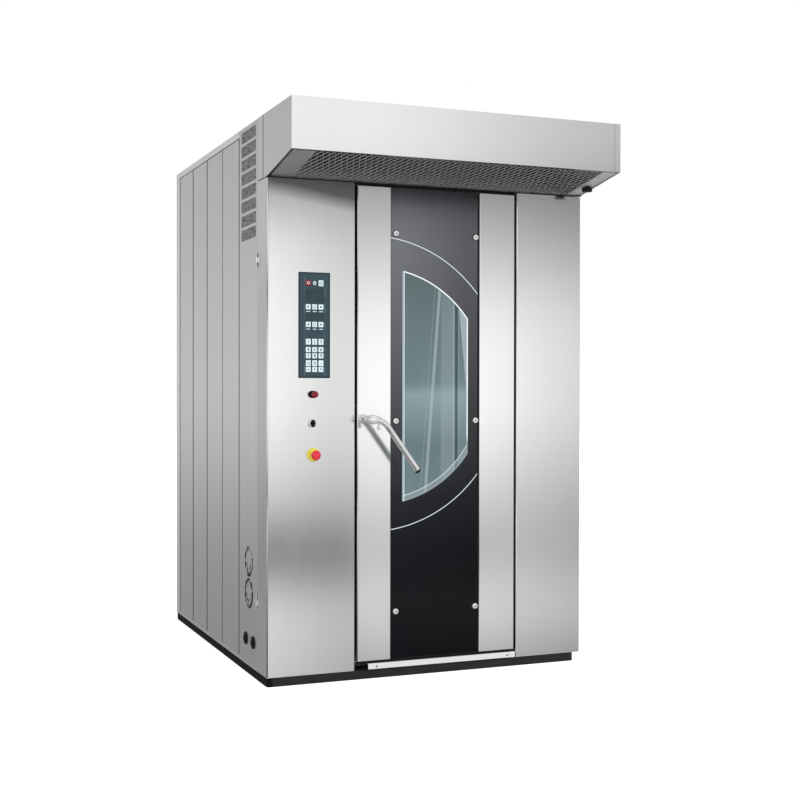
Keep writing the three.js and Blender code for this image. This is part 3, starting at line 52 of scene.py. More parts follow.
# ------------------------------------------------------------------ shader writing
class Wire:
    """A node's socket that sums and products can be written with."""

    def __init__(self, recipe, socket):
        self.recipe = recipe
        self.socket = socket

    def maths(self, operation, *values):
        return self.recipe.node("ShaderNodeMath", {"operation": operation}, dict(enumerate(values)))

    def __add__(self, other):
        return self.maths("ADD", self, other)

    def __radd__(self, other):
        return self.maths("ADD", other, self)

    def __sub__(self, other):
        return self.maths("SUBTRACT", self, other)

    def __rsub__(self, other):
        return self.maths("SUBTRACT", other, self)

    def __mul__(self, other):
        return self.maths("MULTIPLY", self, other)

    def __rmul__(self, other):
        return self.maths("MULTIPLY", other, self)

    def __truediv__(self, other):
        return self.maths("DIVIDE", self, other)

    def __neg__(self):
        return self.maths("MULTIPLY", self, -1.0)

    def __abs__(self):
        return self.maths("ABSOLUTE", self)

    def least(self, other):
        return self.maths("MINIMUM", self, other)

    def most(self, other):
        return self.maths("MAXIMUM", self, other)

    def clamped(self):
        return self.most(0.0).least(1.0)

    def root(self):
        return self.maths("SQRT", self)


class Recipe:
    """One material's or the world's nodes."""

    def __init__(self, owner):
        owner.use_nodes = True
        self.owner = owner
        self.tree = owner.node_tree
        self.tree.nodes.clear()

    def node(self, kind, settings=None, values=None, output=0):
        made = self.tree.nodes.new(kind)
        for name, setting in (settings or {}).items():
            if name == "stops":
                ramp = made.color_ramp
                while len(ramp.elements) < len(setting):
                    ramp.elements.new(0.5)
                for stop, (place, tone) in zip(ramp.elements, setting):
                    stop.position = place
                    tone = tone if isinstance(tone, tuple) else (tone, tone, tone)
                    stop.color = (*tone, 1.0)
            else:
                setattr(made, name, setting)
        for name, value in (values or {}).items():
            socket = made.inputs[name]
            if isinstance(value, Wire):
                self.tree.links.new(value.socket, socket)
            elif isinstance(value, tuple) and socket.type == "RGBA":
                socket.default_value = (*value[:3], 1.0)
            else:
                socket.default_value = value
        return Wire(self, made.outputs[output])

    def place(self):
        """Object coordinates and their three parts, in metres in the row frame."""
        point = self.node("ShaderNodeTexCoord", output="Object")
        parts = [self.node("ShaderNodeSeparateXYZ", None, {0: point}, axis) for axis in "XYZ"]
        return point, *parts

    def stretched(self, point, scale):
        return self.node("ShaderNodeMapping", None, {"Vector": point, "Scale": scale})

    def noise(self, point, scale, detail=2.0, roughness=0.5):
        return self.node("ShaderNodeTexNoise", None, {
            "Vector": point, "Scale": scale, "Detail": detail, "Roughness": roughness})

    def cells(self, point, scale):
        return self.node("ShaderNodeTexVoronoi", None, {"Vector": point, "Scale": scale})

    def tone(self, mask, low, high):
        """Colour from low to high where mask goes from 0 to 1."""
        return self.node("ShaderNodeMix", {"data_type": "RGBA"}, {0: mask, 6: low, 7: high}, 2)

    def ramp(self, value, stops):
        return self.node("ShaderNodeValToRGB", {"stops": stops}, {0: value})

    def scaled(self, colour, share):
        """Colour times share, part by part."""
        return self.node("ShaderNodeMix", {"data_type": "RGBA", "blend_type": "MULTIPLY"},
                         {0: 1.0, 6: colour, 7: share}, 2)

    def bump(self, height, strength, distance):
        return self.node("ShaderNodeBump", None, {
            "Height": height, "Strength": strength, "Distance": distance})

    def band(self, value, middle, half, soft):
        """1 within half of middle, falling to 0 over soft."""
        return (1.0 + (half - abs(value - middle)) / soft).clamped()

    def step(self, value, edge, soft):
        """0 below edge, 1 above it, over soft."""
        return ((value - edge) / soft + 0.5).clamped()

    def finish(self, veil=None, **values):
        """Close the recipe; veil covers the surface with matt black, for black parts and for
        painted shade and reflection.
        """
        shader = self.node("ShaderNodeBsdfPrincipled", None, {
            name.replace("_", " "): value for name, value in values.items()})
        if veil:
            matt_black = self.node("ShaderNodeBsdfPrincipled", None, {
                "Base Color": (0.004, 0.004, 0.004), "Roughness": 0.7,
                "Specular IOR Level": 0.03})
            shader = self.node("ShaderNodeMixShader", None, {0: veil, 1: shader, 2: matt_black})
        out = self.tree.nodes.new("ShaderNodeOutputMaterial")
        self.tree.links.new(shader.socket, out.inputs["Surface"])
        return self.owner


def new_finish(name):
    """A new material's recipe, with what its place() gives."""
    r = Recipe(bpy.data.materials.new(name))
    return r, *r.place()


def linear(*levels):
    """Display levels of 0 to 255 as linear colour."""
    shares = [level / 255 for level in levels]
    return tuple(s / 12.92 if s <= 0.04045 else ((s + 0.055) / 1.055) ** 2.4 for s in shares)


# ------------------------------------------------------------------ finishes
def brushed(name, colour, roughness, metallic=1.0, grain=(700.0, 700.0, 9.0), depth=0.06, dish=0.0,
            lean=0.0, fold=0.0, streaks=0.0, black_and_shade=None, painted_shade=None):
    """Rolled and brushed stainless sheet: fine grain along one axis, faint clouds, a few smears.

    dish turns the sheet a little to the left and lean turns it up, as large thin panels bow. fold
    roughens the faces that are folded round to the left and darkens them over the middle of their
    height as painted shade, and streaks is how much long upright rubbing marks show. Of the two
    masks, the first covers the sheet with matt black, for black parts and for painted shade, and
    the second darkens it as painted shade.
    """
    r, point, x, y, z = new_finish(name)
    fine = r.noise(r.stretched(point, grain), 1.0, 3.0, 0.6)
    coarse = r.noise(r.stretched(point, tuple(g * 0.22 for g in grain)), 1.0, 2.0)
    clouds = r.noise(point, 2.3, 3.0)
    smears = r.noise(r.stretched(point, (9.0, 9.0, 3.0)), 1.0, 4.0, 0.65)
    shade = 0.5 + (fine - 0.5) * 0.5 + (coarse - 0.5) * 0.35 + (clouds - 0.5) * 0.35
    if streaks:
        rubbed = r.noise(r.stretched(point, (26.0, 26.0, 0.5)), 1.0, 4.0, 0.65)
        shade = shade + (rubbed - 0.5) * streaks
    shade = shade.clamped()
    sheet = r.tone(shade, tuple(c * 0.955 for c in colour),
                   tuple(min(1.0, c * 1.035) for c in colour))
    rough = roughness + (fine - 0.5) * 0.04 + (smears - 0.5) * 0.03
    if fold:
        facing = r.node("ShaderNodeNewGeometry", output="True Normal")
        turned = r.step(-r.node("ShaderNodeSeparateXYZ", None, {0: facing}, 0), 0.8, 0.2)
        rough = rough + turned * fold
        # painted shade: faces turned to the left are darkened over the middle of their height
        sheet = r.tone(turned * r.band(z, 1.03, 0.50, 0.30), sheet, tuple(c * 0.78 for c in colour))
    if painted_shade:
        # painted shade: the sheet is darkened towards grey where the mask is set
        sheet = r.tone(painted_shade(r, point, x, y, z), sheet, (0.25, 0.25, 0.253))
    relief = (fine * 0.7 + coarse * 0.3) * (depth * 0.0006) + x * dish - z * lean
    return r.finish(
        black_and_shade(r, point, x, y, z) if black_and_shade else None,
        Base_Color=sheet,
        Metallic=metallic,
        Roughness=rough,
        Normal=r.bump(relief, 1.0, 1.0),
    )


# edge of the painted shade under the hood on the cover
COVER_SHADE_EDGE = 1.997


def reset_collar(r, point, x, y, z):
    """The collar round the reset button is black."""
    away = ((x + 0.522) * (x + 0.522) + (z - 1.174) * (z - 1.174)).root()
    return r.step(-away, -0.0162, 0.0004) * r.step(-y, 0.8306, 0.0004)


def lever_reflection_lines(r, point, x, y, z):
    """Painted reflection: two fine dark lines along the lever, on its lower side."""
    across = (x + 0.254) * -0.8084 + (z - 1.063) * -0.5886
    lines = r.band(across, 0.0030, 0.0007, 0.0006).most(r.band(across, 0.0078, 0.0010, 0.0006))
    return lines * r.step(-z, -1.043, 0.006) * r.step(-y, 0.9435, 0.002) * 0.8


def cover_top_shade(r, point, x, y, z):
    """Painted shade: the top of the cover, under the hood, is darkened, reaching lower down beside
    the door.
    """
    drift = r.noise(point, 9.0, 2.0)
    edge = z + (x + 0.66) * 0.16 + (drift - 0.5) * 0.01
    return r.step(edge, COVER_SHADE_EDGE, 0.06) * r.step(-y, 0.825, 0.004)


def hood_fold(r, point, x, y, z):
    """Painted shade: a fine dark line at a fold near the right-hand end of the hood's front."""
    return r.band(x, 0.688, 0.0016, 0.0012) * r.step(-y, 1.159, 0.001) * 0.35


def hood_shade(r, point, x, y, z):
    """Painted shade: under the hood the sheet is darkened, but for its right-hand end."""
    return r.step(-x, -0.50, 0.25) * 0.5


def header_gap_shade(r, point, x, y, z):
    """Painted shade: black in the gap between the door's top and the hood."""
    return r.step(-z, -2.0462, 0.0006) * r.step(-y, 0.826, 0.002)


def knockout_groove_shade(r, point, x, y, z):
    """Painted shade in the pressed grooves of the two knock-outs, broken in places."""
    broken = r.step(r.noise(point, 44.0, 3.0, 0.7), 0.47, 0.05)
    patches = r.step(r.noise(point, 62.0, 3.0, 0.7), 0.50, 0.05)
    marks = None
    for up in (0.4725, 0.3395):
        away = ((y + 0.5645) * (y + 0.5645) + (z - up) * (z - up)).root()
        outer = r.band(away, 0.0545, 0.0085, 0.0015) * broken
        inner = r.band(away, 0.0345, 0.0060, 0.0015) * patches
        ring = outer.most(inner * r.step(-z, -up, 0.01))
        marks = ring if marks is None else marks.most(ring)
    return marks * 0.97


def polished(name, colour, roughness=0.1):
    """Turned and polished bright steel with hairline marks and finger dulling."""
    r, point, x, y, z = new_finish(name)
    hair = r.noise(r.stretched(point, (260.0, 260.0, 1400.0)), 1.0, 2.0)
    dull = r.noise(point, 34.0, 4.0, 0.6)
    return r.finish(
        Base_Color=r.tone(dull, tuple(c * 0.93 for c in colour), colour),
        Metallic=1.0,
        Roughness=roughness + (dull - 0.5) * 0.1,
        Normal=r.bump(hair, 0.04, 0.0003),
    )


def cast(name, colour, roughness=0.45, metallic=0.8, black_and_shade=None):
    """Cast or plated fitting: mottled spangle and small pits. An optional mask covers it with matt
    black; the lever uses it for painted reflection lines.
    """
    r, point, x, y, z = new_finish(name)
    spangle = r.cells(point, 130.0)
    pits = r.noise(point, 420.0, 3.0, 0.6)
    return r.finish(
        black_and_shade(r, point, x, y, z) if black_and_shade else None,
        Base_Color=r.tone(spangle, tuple(c * 0.78 for c in colour), colour),
        Metallic=metallic,
        Roughness=roughness + (spangle - 0.5) * 0.12,
        Normal=r.bump(pits, 0.15, 0.0004),
    )


def moulded(name, colour, roughness=0.42, grain=900.0, depth=0.2, shine=0.5, wear=0.0):
    """Moulded plastic: fine leathery texture, slight tone drift, scuffed lighter spots."""
    r, point, x, y, z = new_finish(name)
    fine = r.cells(point, grain)
    drift = r.noise(point, 30.0, 3.0)
    scuff = r.step(r.noise(point, 160.0, 5.0, 0.7), 0.68, 0.12) * wear
    light = tuple(min(1.0, c * 1.25 + 0.02) for c in colour)
    return r.finish(
        Base_Color=r.tone((drift - 0.35) * 0.5 + scuff, colour, light),
        Roughness=roughness + (drift - 0.5) * 0.12 + scuff * 0.2,
        Specular_IOR_Level=shine,
        Normal=r.bump(fine, depth, 0.0002),
    )


def powder_coat(name, colour, roughness=0.5):
    """Baked powder paint: orange peel, dust gathered low down, painted shade on its two ends."""
    r, point, x, y, z = new_finish(name)
    peel = r.noise(point, 520.0, 2.0)
    dust = r.noise(r.stretched(point, (6.0, 6.0, 30.0)), 1.0, 4.0, 0.7)
    low = r.step(-z, -0.02, 0.05)
    light = tuple(min(1.0, c + 0.02) for c in colour)
    # painted shade: the ends are darkened towards a tenth of the paint's colour
    ends = r.step(abs(x), 0.69, 0.01) * 0.85
    dusty = r.tone((r.step(dust, 0.55, 0.3) * (0.35 + low * 0.4)).clamped(), colour, light)
    return r.finish(
        Base_Color=r.tone(ends, dusty, tuple(c * 0.1 for c in colour)),
        Roughness=roughness + (dust - 0.5) * 0.2,
        Specular_IOR_Level=0.1,
        Normal=r.bump(peel, 0.12, 0.0003),
    )


def rubber_seal(name):
    r, point, x, y, z = new_finish(name)
    ribs = r.noise(r.stretched(point, (60.0, 60.0, 8.0)), 1.0, 3.0)
    dust = r.noise(point, 220.0, 4.0, 0.7)
    return r.finish(
        Base_Color=r.tone(r.step(dust, 0.6, 0.25), (0.016, 0.016, 0.017), (0.055, 0.054, 0.052)),
        Roughness=0.62 + (dust - 0.5) * 0.2,
        Normal=r.bump(ribs + dust * 0.4, 0.25, 0.0006),
    )


def mineral_wool(name):
    """Mineral wool under a crinkled foil facing, the wool showing through where it is worn."""
    r, point, x, y, z = new_finish(name)
    fibres = r.noise(r.stretched(point, (160.0, 160.0, 40.0)), 1.0, 5.0, 0.75)
    crinkles = r.cells(point, 34.0)
    worn = r.step(r.noise(point, 7.0, 5.0, 0.7), 0.66, 0.06)
    foil = r.tone(crinkles, (0.40, 0.40, 0.39), (0.58, 0.58, 0.57))
    return r.finish(
        Base_Color=r.tone(worn, foil, r.tone(fibres, (0.24, 0.20, 0.13), (0.46, 0.41, 0.30))),
        Metallic=(1.0 - worn) * 0.75,
        Roughness=0.46 + worn * 0.4,
        Normal=r.bump(crinkles * (1.0 - worn) + fibres * worn, 0.5, 0.003),
    )


def baked_liner(name):
    """Chamber sheet after years of baking: bright steel, straw and brown heat tint in clouds."""
    r, point, x, y, z = new_finish(name)
    fine = r.noise(r.stretched(point, (500.0, 500.0, 10.0)), 1.0, 3.0)
    heat = r.step(r.noise(point, 3.4, 5.0, 0.62), 0.58, 0.3)
    spots = r.step(r.noise(point, 90.0, 3.0, 0.6), 0.72, 0.06)
    steel = r.tone(fine, (0.56, 0.56, 0.55), (0.68, 0.68, 0.67))
    tinted = r.tone(heat * 0.5, steel, (0.46, 0.37, 0.24))
    return r.finish(
        Base_Color=r.tone(spots * 0.5, tinted, (0.2, 0.14, 0.09)),
        Metallic=0.85,
        Roughness=0.32 + heat * 0.12 + (fine - 0.5) * 0.08,
        Normal=r.bump(fine, 0.08, 0.0006),
    )


def painted_motor(name):
    r, point, x, y, z = new_finish(name)
    peel = r.noise(point, 260.0, 3.0)
    chips = r.step(r.noise(point, 60.0, 5.0, 0.7), 0.7, 0.05)
    return r.finish(
        Base_Color=r.tone(chips, (0.12, 0.16, 0.19), (0.34, 0.35, 0.35)),
        Roughness=0.48 + (peel - 0.5) * 0.15,
        Normal=r.bump(peel - chips * 0.6, 0.2, 0.0006),
    )


# Door glass: a black print on the pane's back, and a clear window left in it in the shape of a D.
ARC_X, ARC_Z = -0.2273, 1.2076
WINDOW_RADIUS = 0.4885
ETCHED_X, ETCHED_Z = -0.2591, 1.2175
ETCHED_RADIUS = 0.6107
WINDOW_LEFT, WINDOW_RIGHT = -0.122, 0.169
# The print's colour up its height holds a painted reflection of the dark floor low down and the
# pale room higher up: metres, display level.
# Thinned from levels sampled down the glass in the photo.
PRINT_AND_REFLECTION_LEVELS = [(0.0, 4), (0.4, 10), (0.75, 30), (1.1, 65), (1.8, 105), (1.95, 100),
                (2.03, 60)]
# Edges seen through the window: the slanting ones' lean and place, and the upright one's place.
STREAK_LEAN, STREAK_AT, PANE_EDGE = 0.0773, -0.0142, 0.106


def printed_glass(name):
    r, point, x, y, z = new_finish(name)

    def away(middle, height):
        return ((x - middle) * (x - middle) + (z - height) * (z - height)).root()

    radius = away(ARC_X, ARC_Z)
    # how far a point is inside the window, in metres
    inside = (WINDOW_RADIUS - radius).least(x - WINDOW_LEFT).least(WINDOW_RIGHT - x)
    window = r.step(inside, 0.0, 0.0012)
    lower_arc = r.step(-z, -0.98, 0.04) * r.step(x, WINDOW_LEFT + 0.003, 0.001)
    rim = r.band(inside, 0.0, 0.0020, 0.0012) * (1.0 - lower_arc * 0.75)
    spine = r.step(WINDOW_RADIUS - radius, 0.0, 0.001)
    spine = r.band(x, WINDOW_LEFT - 0.003, 0.0032, 0.001) * spine
    etched = r.band(away(ETCHED_X, ETCHED_Z), ETCHED_RADIUS, 0.0009, 0.0014) * (1.0 - window)
    # a second faint line inside the lower arc, with a lighter strip below it
    inner = r.band(radius, WINDOW_RADIUS - 0.021, 0.0008, 0.0012) * window * r.step(-z, -1.0, 0.05)
    strip = r.step(radius, WINDOW_RADIUS - 0.021, 0.001) * window * r.step(-z, -1.0, 0.05)
    height = r.ramp(z / 2.1, [
        (up / 2.1, linear(level, level + 2, level + 6)) for up, level in PRINT_AND_REFLECTION_LEVELS])
    mottled = r.noise(r.stretched(point, (3.0, 3.0, 1.2)), 1.0, 3.0)
    # the print and its painted reflection darken towards the right
    across = r.ramp((x + 0.18) / 0.4, [(0.0, 1.0), (0.12, 1.0), (0.85, 0.60), (1.0, 0.56)])
    dark = r.tone((mottled - 0.45) * 0.3, r.scaled(height, across), linear(30, 33, 38))
    # greenish depth of the clear pane; edges of the tunnel and of the inner panes show through it,
    # painted as light and shade: painted highlights along the slanting streaks, a lighter veil and
    # the pane's edges, a painted shadow beside the pane's edge, and a lighter wedge past it
    slant = x - (z - 0.9) * STREAK_LEAN
    streak = r.band(slant, STREAK_AT, 0.0045, 0.004)
    second = r.band(slant, STREAK_AT - 0.022, 0.0008, 0.0016) * 0.5
    veil = r.step(x, STREAK_AT + 0.062, 0.008) * r.step(-x, -PANE_EDGE, 0.002) * 0.35
    bright_edge = r.band(x, PANE_EDGE, 0.0011, 0.0010)
    shadow = r.band(x, PANE_EDGE + 0.0125, 0.0055, 0.0025)
    fine_edge = r.band(x, PANE_EDGE + 0.023, 0.0008, 0.0010) * 0.5
    wedge = r.step(x - PANE_EDGE - 0.026 + (z - 1.519) * 0.101, 0.0, 0.003)
    # thinned from colours sampled down the window in the photo
    # painted light: the window's colour darkens up its height, with a lighter band a little below
    # its middle
    teal = r.ramp((z - 0.7) / 1.05, [
        (0.0, linear(115, 135, 140)), (0.25, linear(105, 125, 130)), (0.45, linear(140, 160, 165)),
        (0.5, linear(110, 130, 135)), (1.0, linear(90, 105, 105))])
    smear = r.noise(r.stretched(point, (26.0, 26.0, 2.2)), 1.0, 3.0)
    teal = r.tone((smear - 0.45) * 0.5, teal, linear(150, 170, 176))
    teal = r.tone(streak.most(second).most(veil) * 0.42, teal, linear(190, 205, 208))
    teal = r.tone(shadow * 0.62, teal, linear(28, 52, 58))
    teal = r.tone(bright_edge.most(fine_edge) * 0.55, teal, linear(196, 212, 216))
    teal = r.tone(wedge * 0.7, teal, linear(178, 188, 200))
    teal = r.tone(strip * 0.35, teal, linear(170, 186, 190))
    colour = r.tone(window, dark, teal)
    colour = r.tone(rim.most(etched * 0.9).most(inner), colour, linear(226, 234, 236))
    colour = r.tone(spine, colour, linear(158, 174, 184))
    smudges = r.noise(point, 14.0, 4.0, 0.6)
    return r.finish(
        Base_Color=colour,
        Roughness=0.06 + (smudges - 0.5) * 0.05,
        Alpha=1.0 - window * (1.0 - rim) * 0.25,
        Specular_IOR_Level=0.14,
        Normal=r.bump(r.noise(point, 5.0, 2.0), 0.02, 0.002),
    )


def clear_glass(name):
    r, point, x, y, z = new_finish(name)
    haze = r.noise(r.stretched(point, (12.0, 12.0, 5.0)), 1.0, 4.0, 0.6)
    return r.finish(
        Base_Color=r.tone(haze, (0.16, 0.24, 0.24), (0.3, 0.38, 0.38)),
        Roughness=0.05 + (haze - 0.5) * 0.06,
        Alpha=0.35 + (haze - 0.5) * 0.12,
        Normal=r.bump(haze, 0.02, 0.001),
    )


def dark_mesh(name):
    """Fine woven screen behind the vent openings."""
    r, point, x, y, z = new_finish(name)
    pitch = 0.0065
    wave = math.tau / pitch
    rows = ((y + z) * wave).maths("SINE", (y + z) * wave)
    columns = ((y - z) * wave).maths("SINE", (y - z) * wave)
    wires = r.step(rows.most(columns), 0.35, 0.3)
    dirt = r.noise(r.stretched(point, (60.0, 30.0, 90.0)), 1.0, 4.0, 0.8)
    colour = r.tone(wires, linear(62, 62, 64), linear(164, 165, 167))
    return r.finish(
        Base_Color=r.tone(r.step(dirt, 0.47, 0.16), linear(74, 74, 76), colour),
        Metallic=0.2,
        Roughness=0.5,
        Normal=r.bump(wires, 0.6, 0.001),
    )


def keypad_film(name):
    """Printed film of the keypad: dark border, two fine lines that frame the columns of keys."""
    r, point, x, y, z = new_finish(name)
    low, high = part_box("keypad")
    edge = (x - low.x).least(high.x - x).least(z - low.z).least(high.z - z)
    border = r.step(-edge, -0.006, 0.001)
    drift_lines = r.noise(r.stretched(point, (2.0, 2.0, 60.0)), 1.0, 2.0)
    lines = r.band(x, -0.5575, 0.0007, 0.0006).most(r.band(x, -0.4715, 0.0007, 0.0006))
    lines = lines * r.step(edge, 0.009, 0.001) * r.step(drift_lines, 0.5, 0.1)
    fine = r.cells(point, 1400.0)
    drift = r.noise(r.stretched(point, (16.0, 16.0, 5.0)), 1.0, 3.0)
    film = r.tone((drift - 0.3) * 0.8, linear(40, 62, 71), linear(56, 80, 90))
    film = r.tone(border, film, linear(25, 42, 51))
    return r.finish(
        Base_Color=r.tone(lines * 0.6, film, linear(120, 142, 150)),
        Roughness=0.36 + (drift - 0.5) * 0.1,
        Normal=r.bump(fine, 0.08, 0.0002),
    )


STEEL, SATIN = (0.93, 0.93, 0.935), (0.865, 0.868, 0.872)
LYING = (9.0, 9.0, 700.0)  # grain along the width instead of the height

FRONT = brushed("front_sheet", STEEL, 0.12)
COVER = brushed("cover_sheet", STEEL, 0.12, dish=0.026, fold=0.12, black_and_shade=reset_collar,
                painted_shade=cover_top_shade)
# the stile's sheet is a lighter, slightly rougher copy of the front steel; its lighter colour is
# painted light
STILE = brushed("stile_sheet", (0.96, 0.96, 0.965), 0.14)
SILL = brushed("sill_sheet", (0.99, 0.99, 0.995), 0.3, 0.4, grain=LYING)
LEVER = cast("satin_steel", (1.0, 1.0, 1.0), 0.12, 0.55)
LEVER_BAR = cast("satin_lever", (1.0, 1.0, 1.0), 0.12, 0.55, black_and_shade=lever_reflection_lines)
HEADER = brushed("header_sheet", STEEL, 0.24, black_and_shade=header_gap_shade)
BACK = brushed("back_sheet", STEEL, 0.34, 0.8, streaks=1.8)
HOOD = brushed("hood_sheet", STEEL, 0.13, lean=0.035, painted_shade=hood_fold)
SIDE = brushed("side_sheet", SATIN, 0.26, streaks=2.2)
VENTED = brushed("vented_sheet", SATIN, 0.26, streaks=2.2, black_and_shade=knockout_groove_shade)
TRIM = brushed("trim_sheet", STEEL, 0.34, 0.7, grain=LYING)
RIM = brushed("rim_sheet", STEEL, 0.2, 0.9, grain=LYING)
HOOD_INSIDE = brushed("hood_inside_sheet", (0.97, 0.97, 0.975), 0.42, 0.6, painted_shade=hood_shade)
BRIGHT = polished("bright_steel", (0.93, 0.93, 0.94))
PLATED = cast("plated_fitting", (0.62, 0.62, 0.6))
LINER = baked_liner("chamber_sheet")
WOOL = mineral_wool("insulation_wool")
MOTOR = painted_motor("motor_paint")
BLACK = moulded("black_moulding", (0.006, 0.006, 0.0065), shine=0.16, wear=0.2)
BASE = powder_coat("base_paint", (0.021, 0.021, 0.022), 0.6)
RUBBER = rubber_seal("seal_rubber")
SLATE = keypad_film("keypad_film")
KEYCAP = moulded("keycap_film", linear(212, 230, 236), roughness=0.4, grain=1400.0, depth=0.05)
KEYMARK = moulded("key_marking", linear(58, 74, 84), roughness=0.45, grain=1400.0, depth=0.05)
DISPLAY = moulded("display_glass", linear(40, 58, 64), roughness=0.2, grain=300.0, depth=0.02,
                  shine=0.3)
SEALANT = moulded("joint_sealant", (0.030, 0.030, 0.031), roughness=0.55, grain=400.0, depth=0.3)
CHROME = polished("chrome_trim", (0.97, 0.97, 0.975), 0.08)
YELLOW = moulded("stop_yellow", linear(240, 222, 78), roughness=0.34, depth=0.06, wear=0.2)
RED = moulded("stop_red", linear(214, 50, 62), roughness=0.3, depth=0.06, wear=0.2)
CRIMSON = moulded("reset_red", linear(120, 14, 34), roughness=0.25, depth=0.05)
SCREEN = cast("hood_screen", (0.40, 0.40, 0.42), 0.5, 0.3)
VENT = dark_mesh("vent_screen")
GLASS = printed_glass("door_glass_print")
PANE = clear_glass("inner_pane")

SLOTS = {
    "plinth_black": BASE, "bright_steel": BRIGHT, "side_steel": SIDE, "front_steel": FRONT,
    "hood_mesh": SCREEN, "black_plastic": BLACK, "chamber_steel": LINER, "fittings": PLATED,
    "insulation": WOOL, "motor_paint": MOTOR, "dark_glass": GLASS, "clear_glass": PANE,
    "seal_rubber": RUBBER, "keypad_slate": SLATE, "stop_yellow": YELLOW, "stop_red": RED,
    "reset_red": CRIMSON,
}
OWN_FINISH = {
    "vent_mesh": VENT, "chamber_floor": RIM, "door_sill": SILL, "door_liner": LINER,
    "control_cover": COVER, "roof_panel": TRIM, "left_panel_1": VENTED, "hood_shell": HOOD,
    "front_header": HEADER, "door_stile_left": STILE, "rear_panel": BACK,
}


def dress_nodes():
    """Give every CAD node its finish, by the record's slots and then by name."""
    by_node = {part["node"]: part["material_slot"] for part in frame["record"]["subparts"]}
    for name, obj in NODES.items():
        finish = OWN_FINISH.get(name) or SLOTS[by_node[name]]
        if not obj.material_slots:
            obj.data.materials.append(finish)
        for slot in obj.material_slots:
            slot.material = finish


# ------------------------------------------------------------------ piece making
def shown(name, form, finish, body, nodes=(), crease=35.0):
    """Turn a bmesh that is in place in the row frame into a piece on a body."""
    bmesh.ops.remove_doubles(form, verts=form.verts, dist=1e-6)
    bmesh.ops.recalc_face_normals(form, faces=form.faces)
    mesh = bpy.data.meshes.new(name)
    form.to_mesh(mesh)
    form.free()
    mesh.materials.append(finish)
    mesh.shade_smooth()
    mesh.set_sharp_from_angle(angle=math.radians(crease))
    obj = bpy.data.objects.new(name, mesh)
    bpy.context.scene.collection.objects.link(obj)
    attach(obj, body)
    if nodes:
        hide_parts(*nodes)
    return obj


def lathe(form, profile, centre, axis, steps=32):
    """Spin (radius, place along the axis) points round a centre; axis is a unit vector."""
    axis = Vector(axis)
    side = axis.orthogonal().normalized()
    if abs(axis.z) < 0.9:
        side = axis.cross(Vector((0.0, 0.0, 1.0))).normalized()
    points = [form.verts.new(Vector(centre) + side * r + axis * a) for r, a in profile]
    edges = [form.edges.new(pair) for pair in zip(points, points[1:])]
    bmesh.ops.spin(form, geom=points + edges, cent=centre, axis=axis, dvec=(0.0, 0.0, 0.0),
                   angle=math.tau, steps=steps, use_merge=True, use_duplicate=False)


def rounded(form, verts, offset, segments=2):
    """Round every edge of these points."""
    edges = list({edge for vert in verts for edge in vert.link_edges})
    bmesh.ops.bevel(form, geom=edges, offset=offset, offset_type="OFFSET", affect="EDGES",
                    segments=segments, profile=0.5, material=-1)


def slab(form, low, high, bevel=0.0, segments=2):
    """A block between two corners, its edges rounded."""
    low, high = Vector(low), Vector(high)
    size = high - low
    place = Matrix.Translation((low + high) / 2) @ Matrix.Diagonal((*size, 1.0))
    made = bmesh.ops.create_cube(form, size=1.0, matrix=place)
    if bevel:
        rounded(form, made["verts"], bevel, segments)
    return made["verts"]


OUT = (0.0, -1.0, 0.0)
STOOD_UP = Matrix.Rotation(math.radians(90.0), 4, "X")


def front_centre(node):
    """Middle of a node's box seen from the front, at y = 0."""
    low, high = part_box(node)
    return ((low.x + high.x) / 2, 0.0, (low.z + high.z) / 2)


def turned_piece(name, profile, centre, axis, steps, finish, body, nodes=()):
    form = bmesh.new()
    lathe(form, profile, centre, axis, steps)
    shown(name, form, finish, body, nodes)


def block_piece(name, low, high, bevel, segments, finish, body, crease=35.0):
    form = bmesh.new()
    slab(form, low, high, bevel, segments)
    shown(name, form, finish, body, crease=crease)


# ------------------------------------------------------------------ hood screen
# Expanded steel sheet on the slope under the hood, in its plain sheet border.
SCREEN_LEFT, SCREEN_RIGHT = -0.610, 0.645
SCREEN_NEAR, SCREEN_FAR = -1.1440, -0.8420


def screen_height(y):
    return 2.0472 + 0.055 * (-0.830 - y) / 0.330 + 0.0016


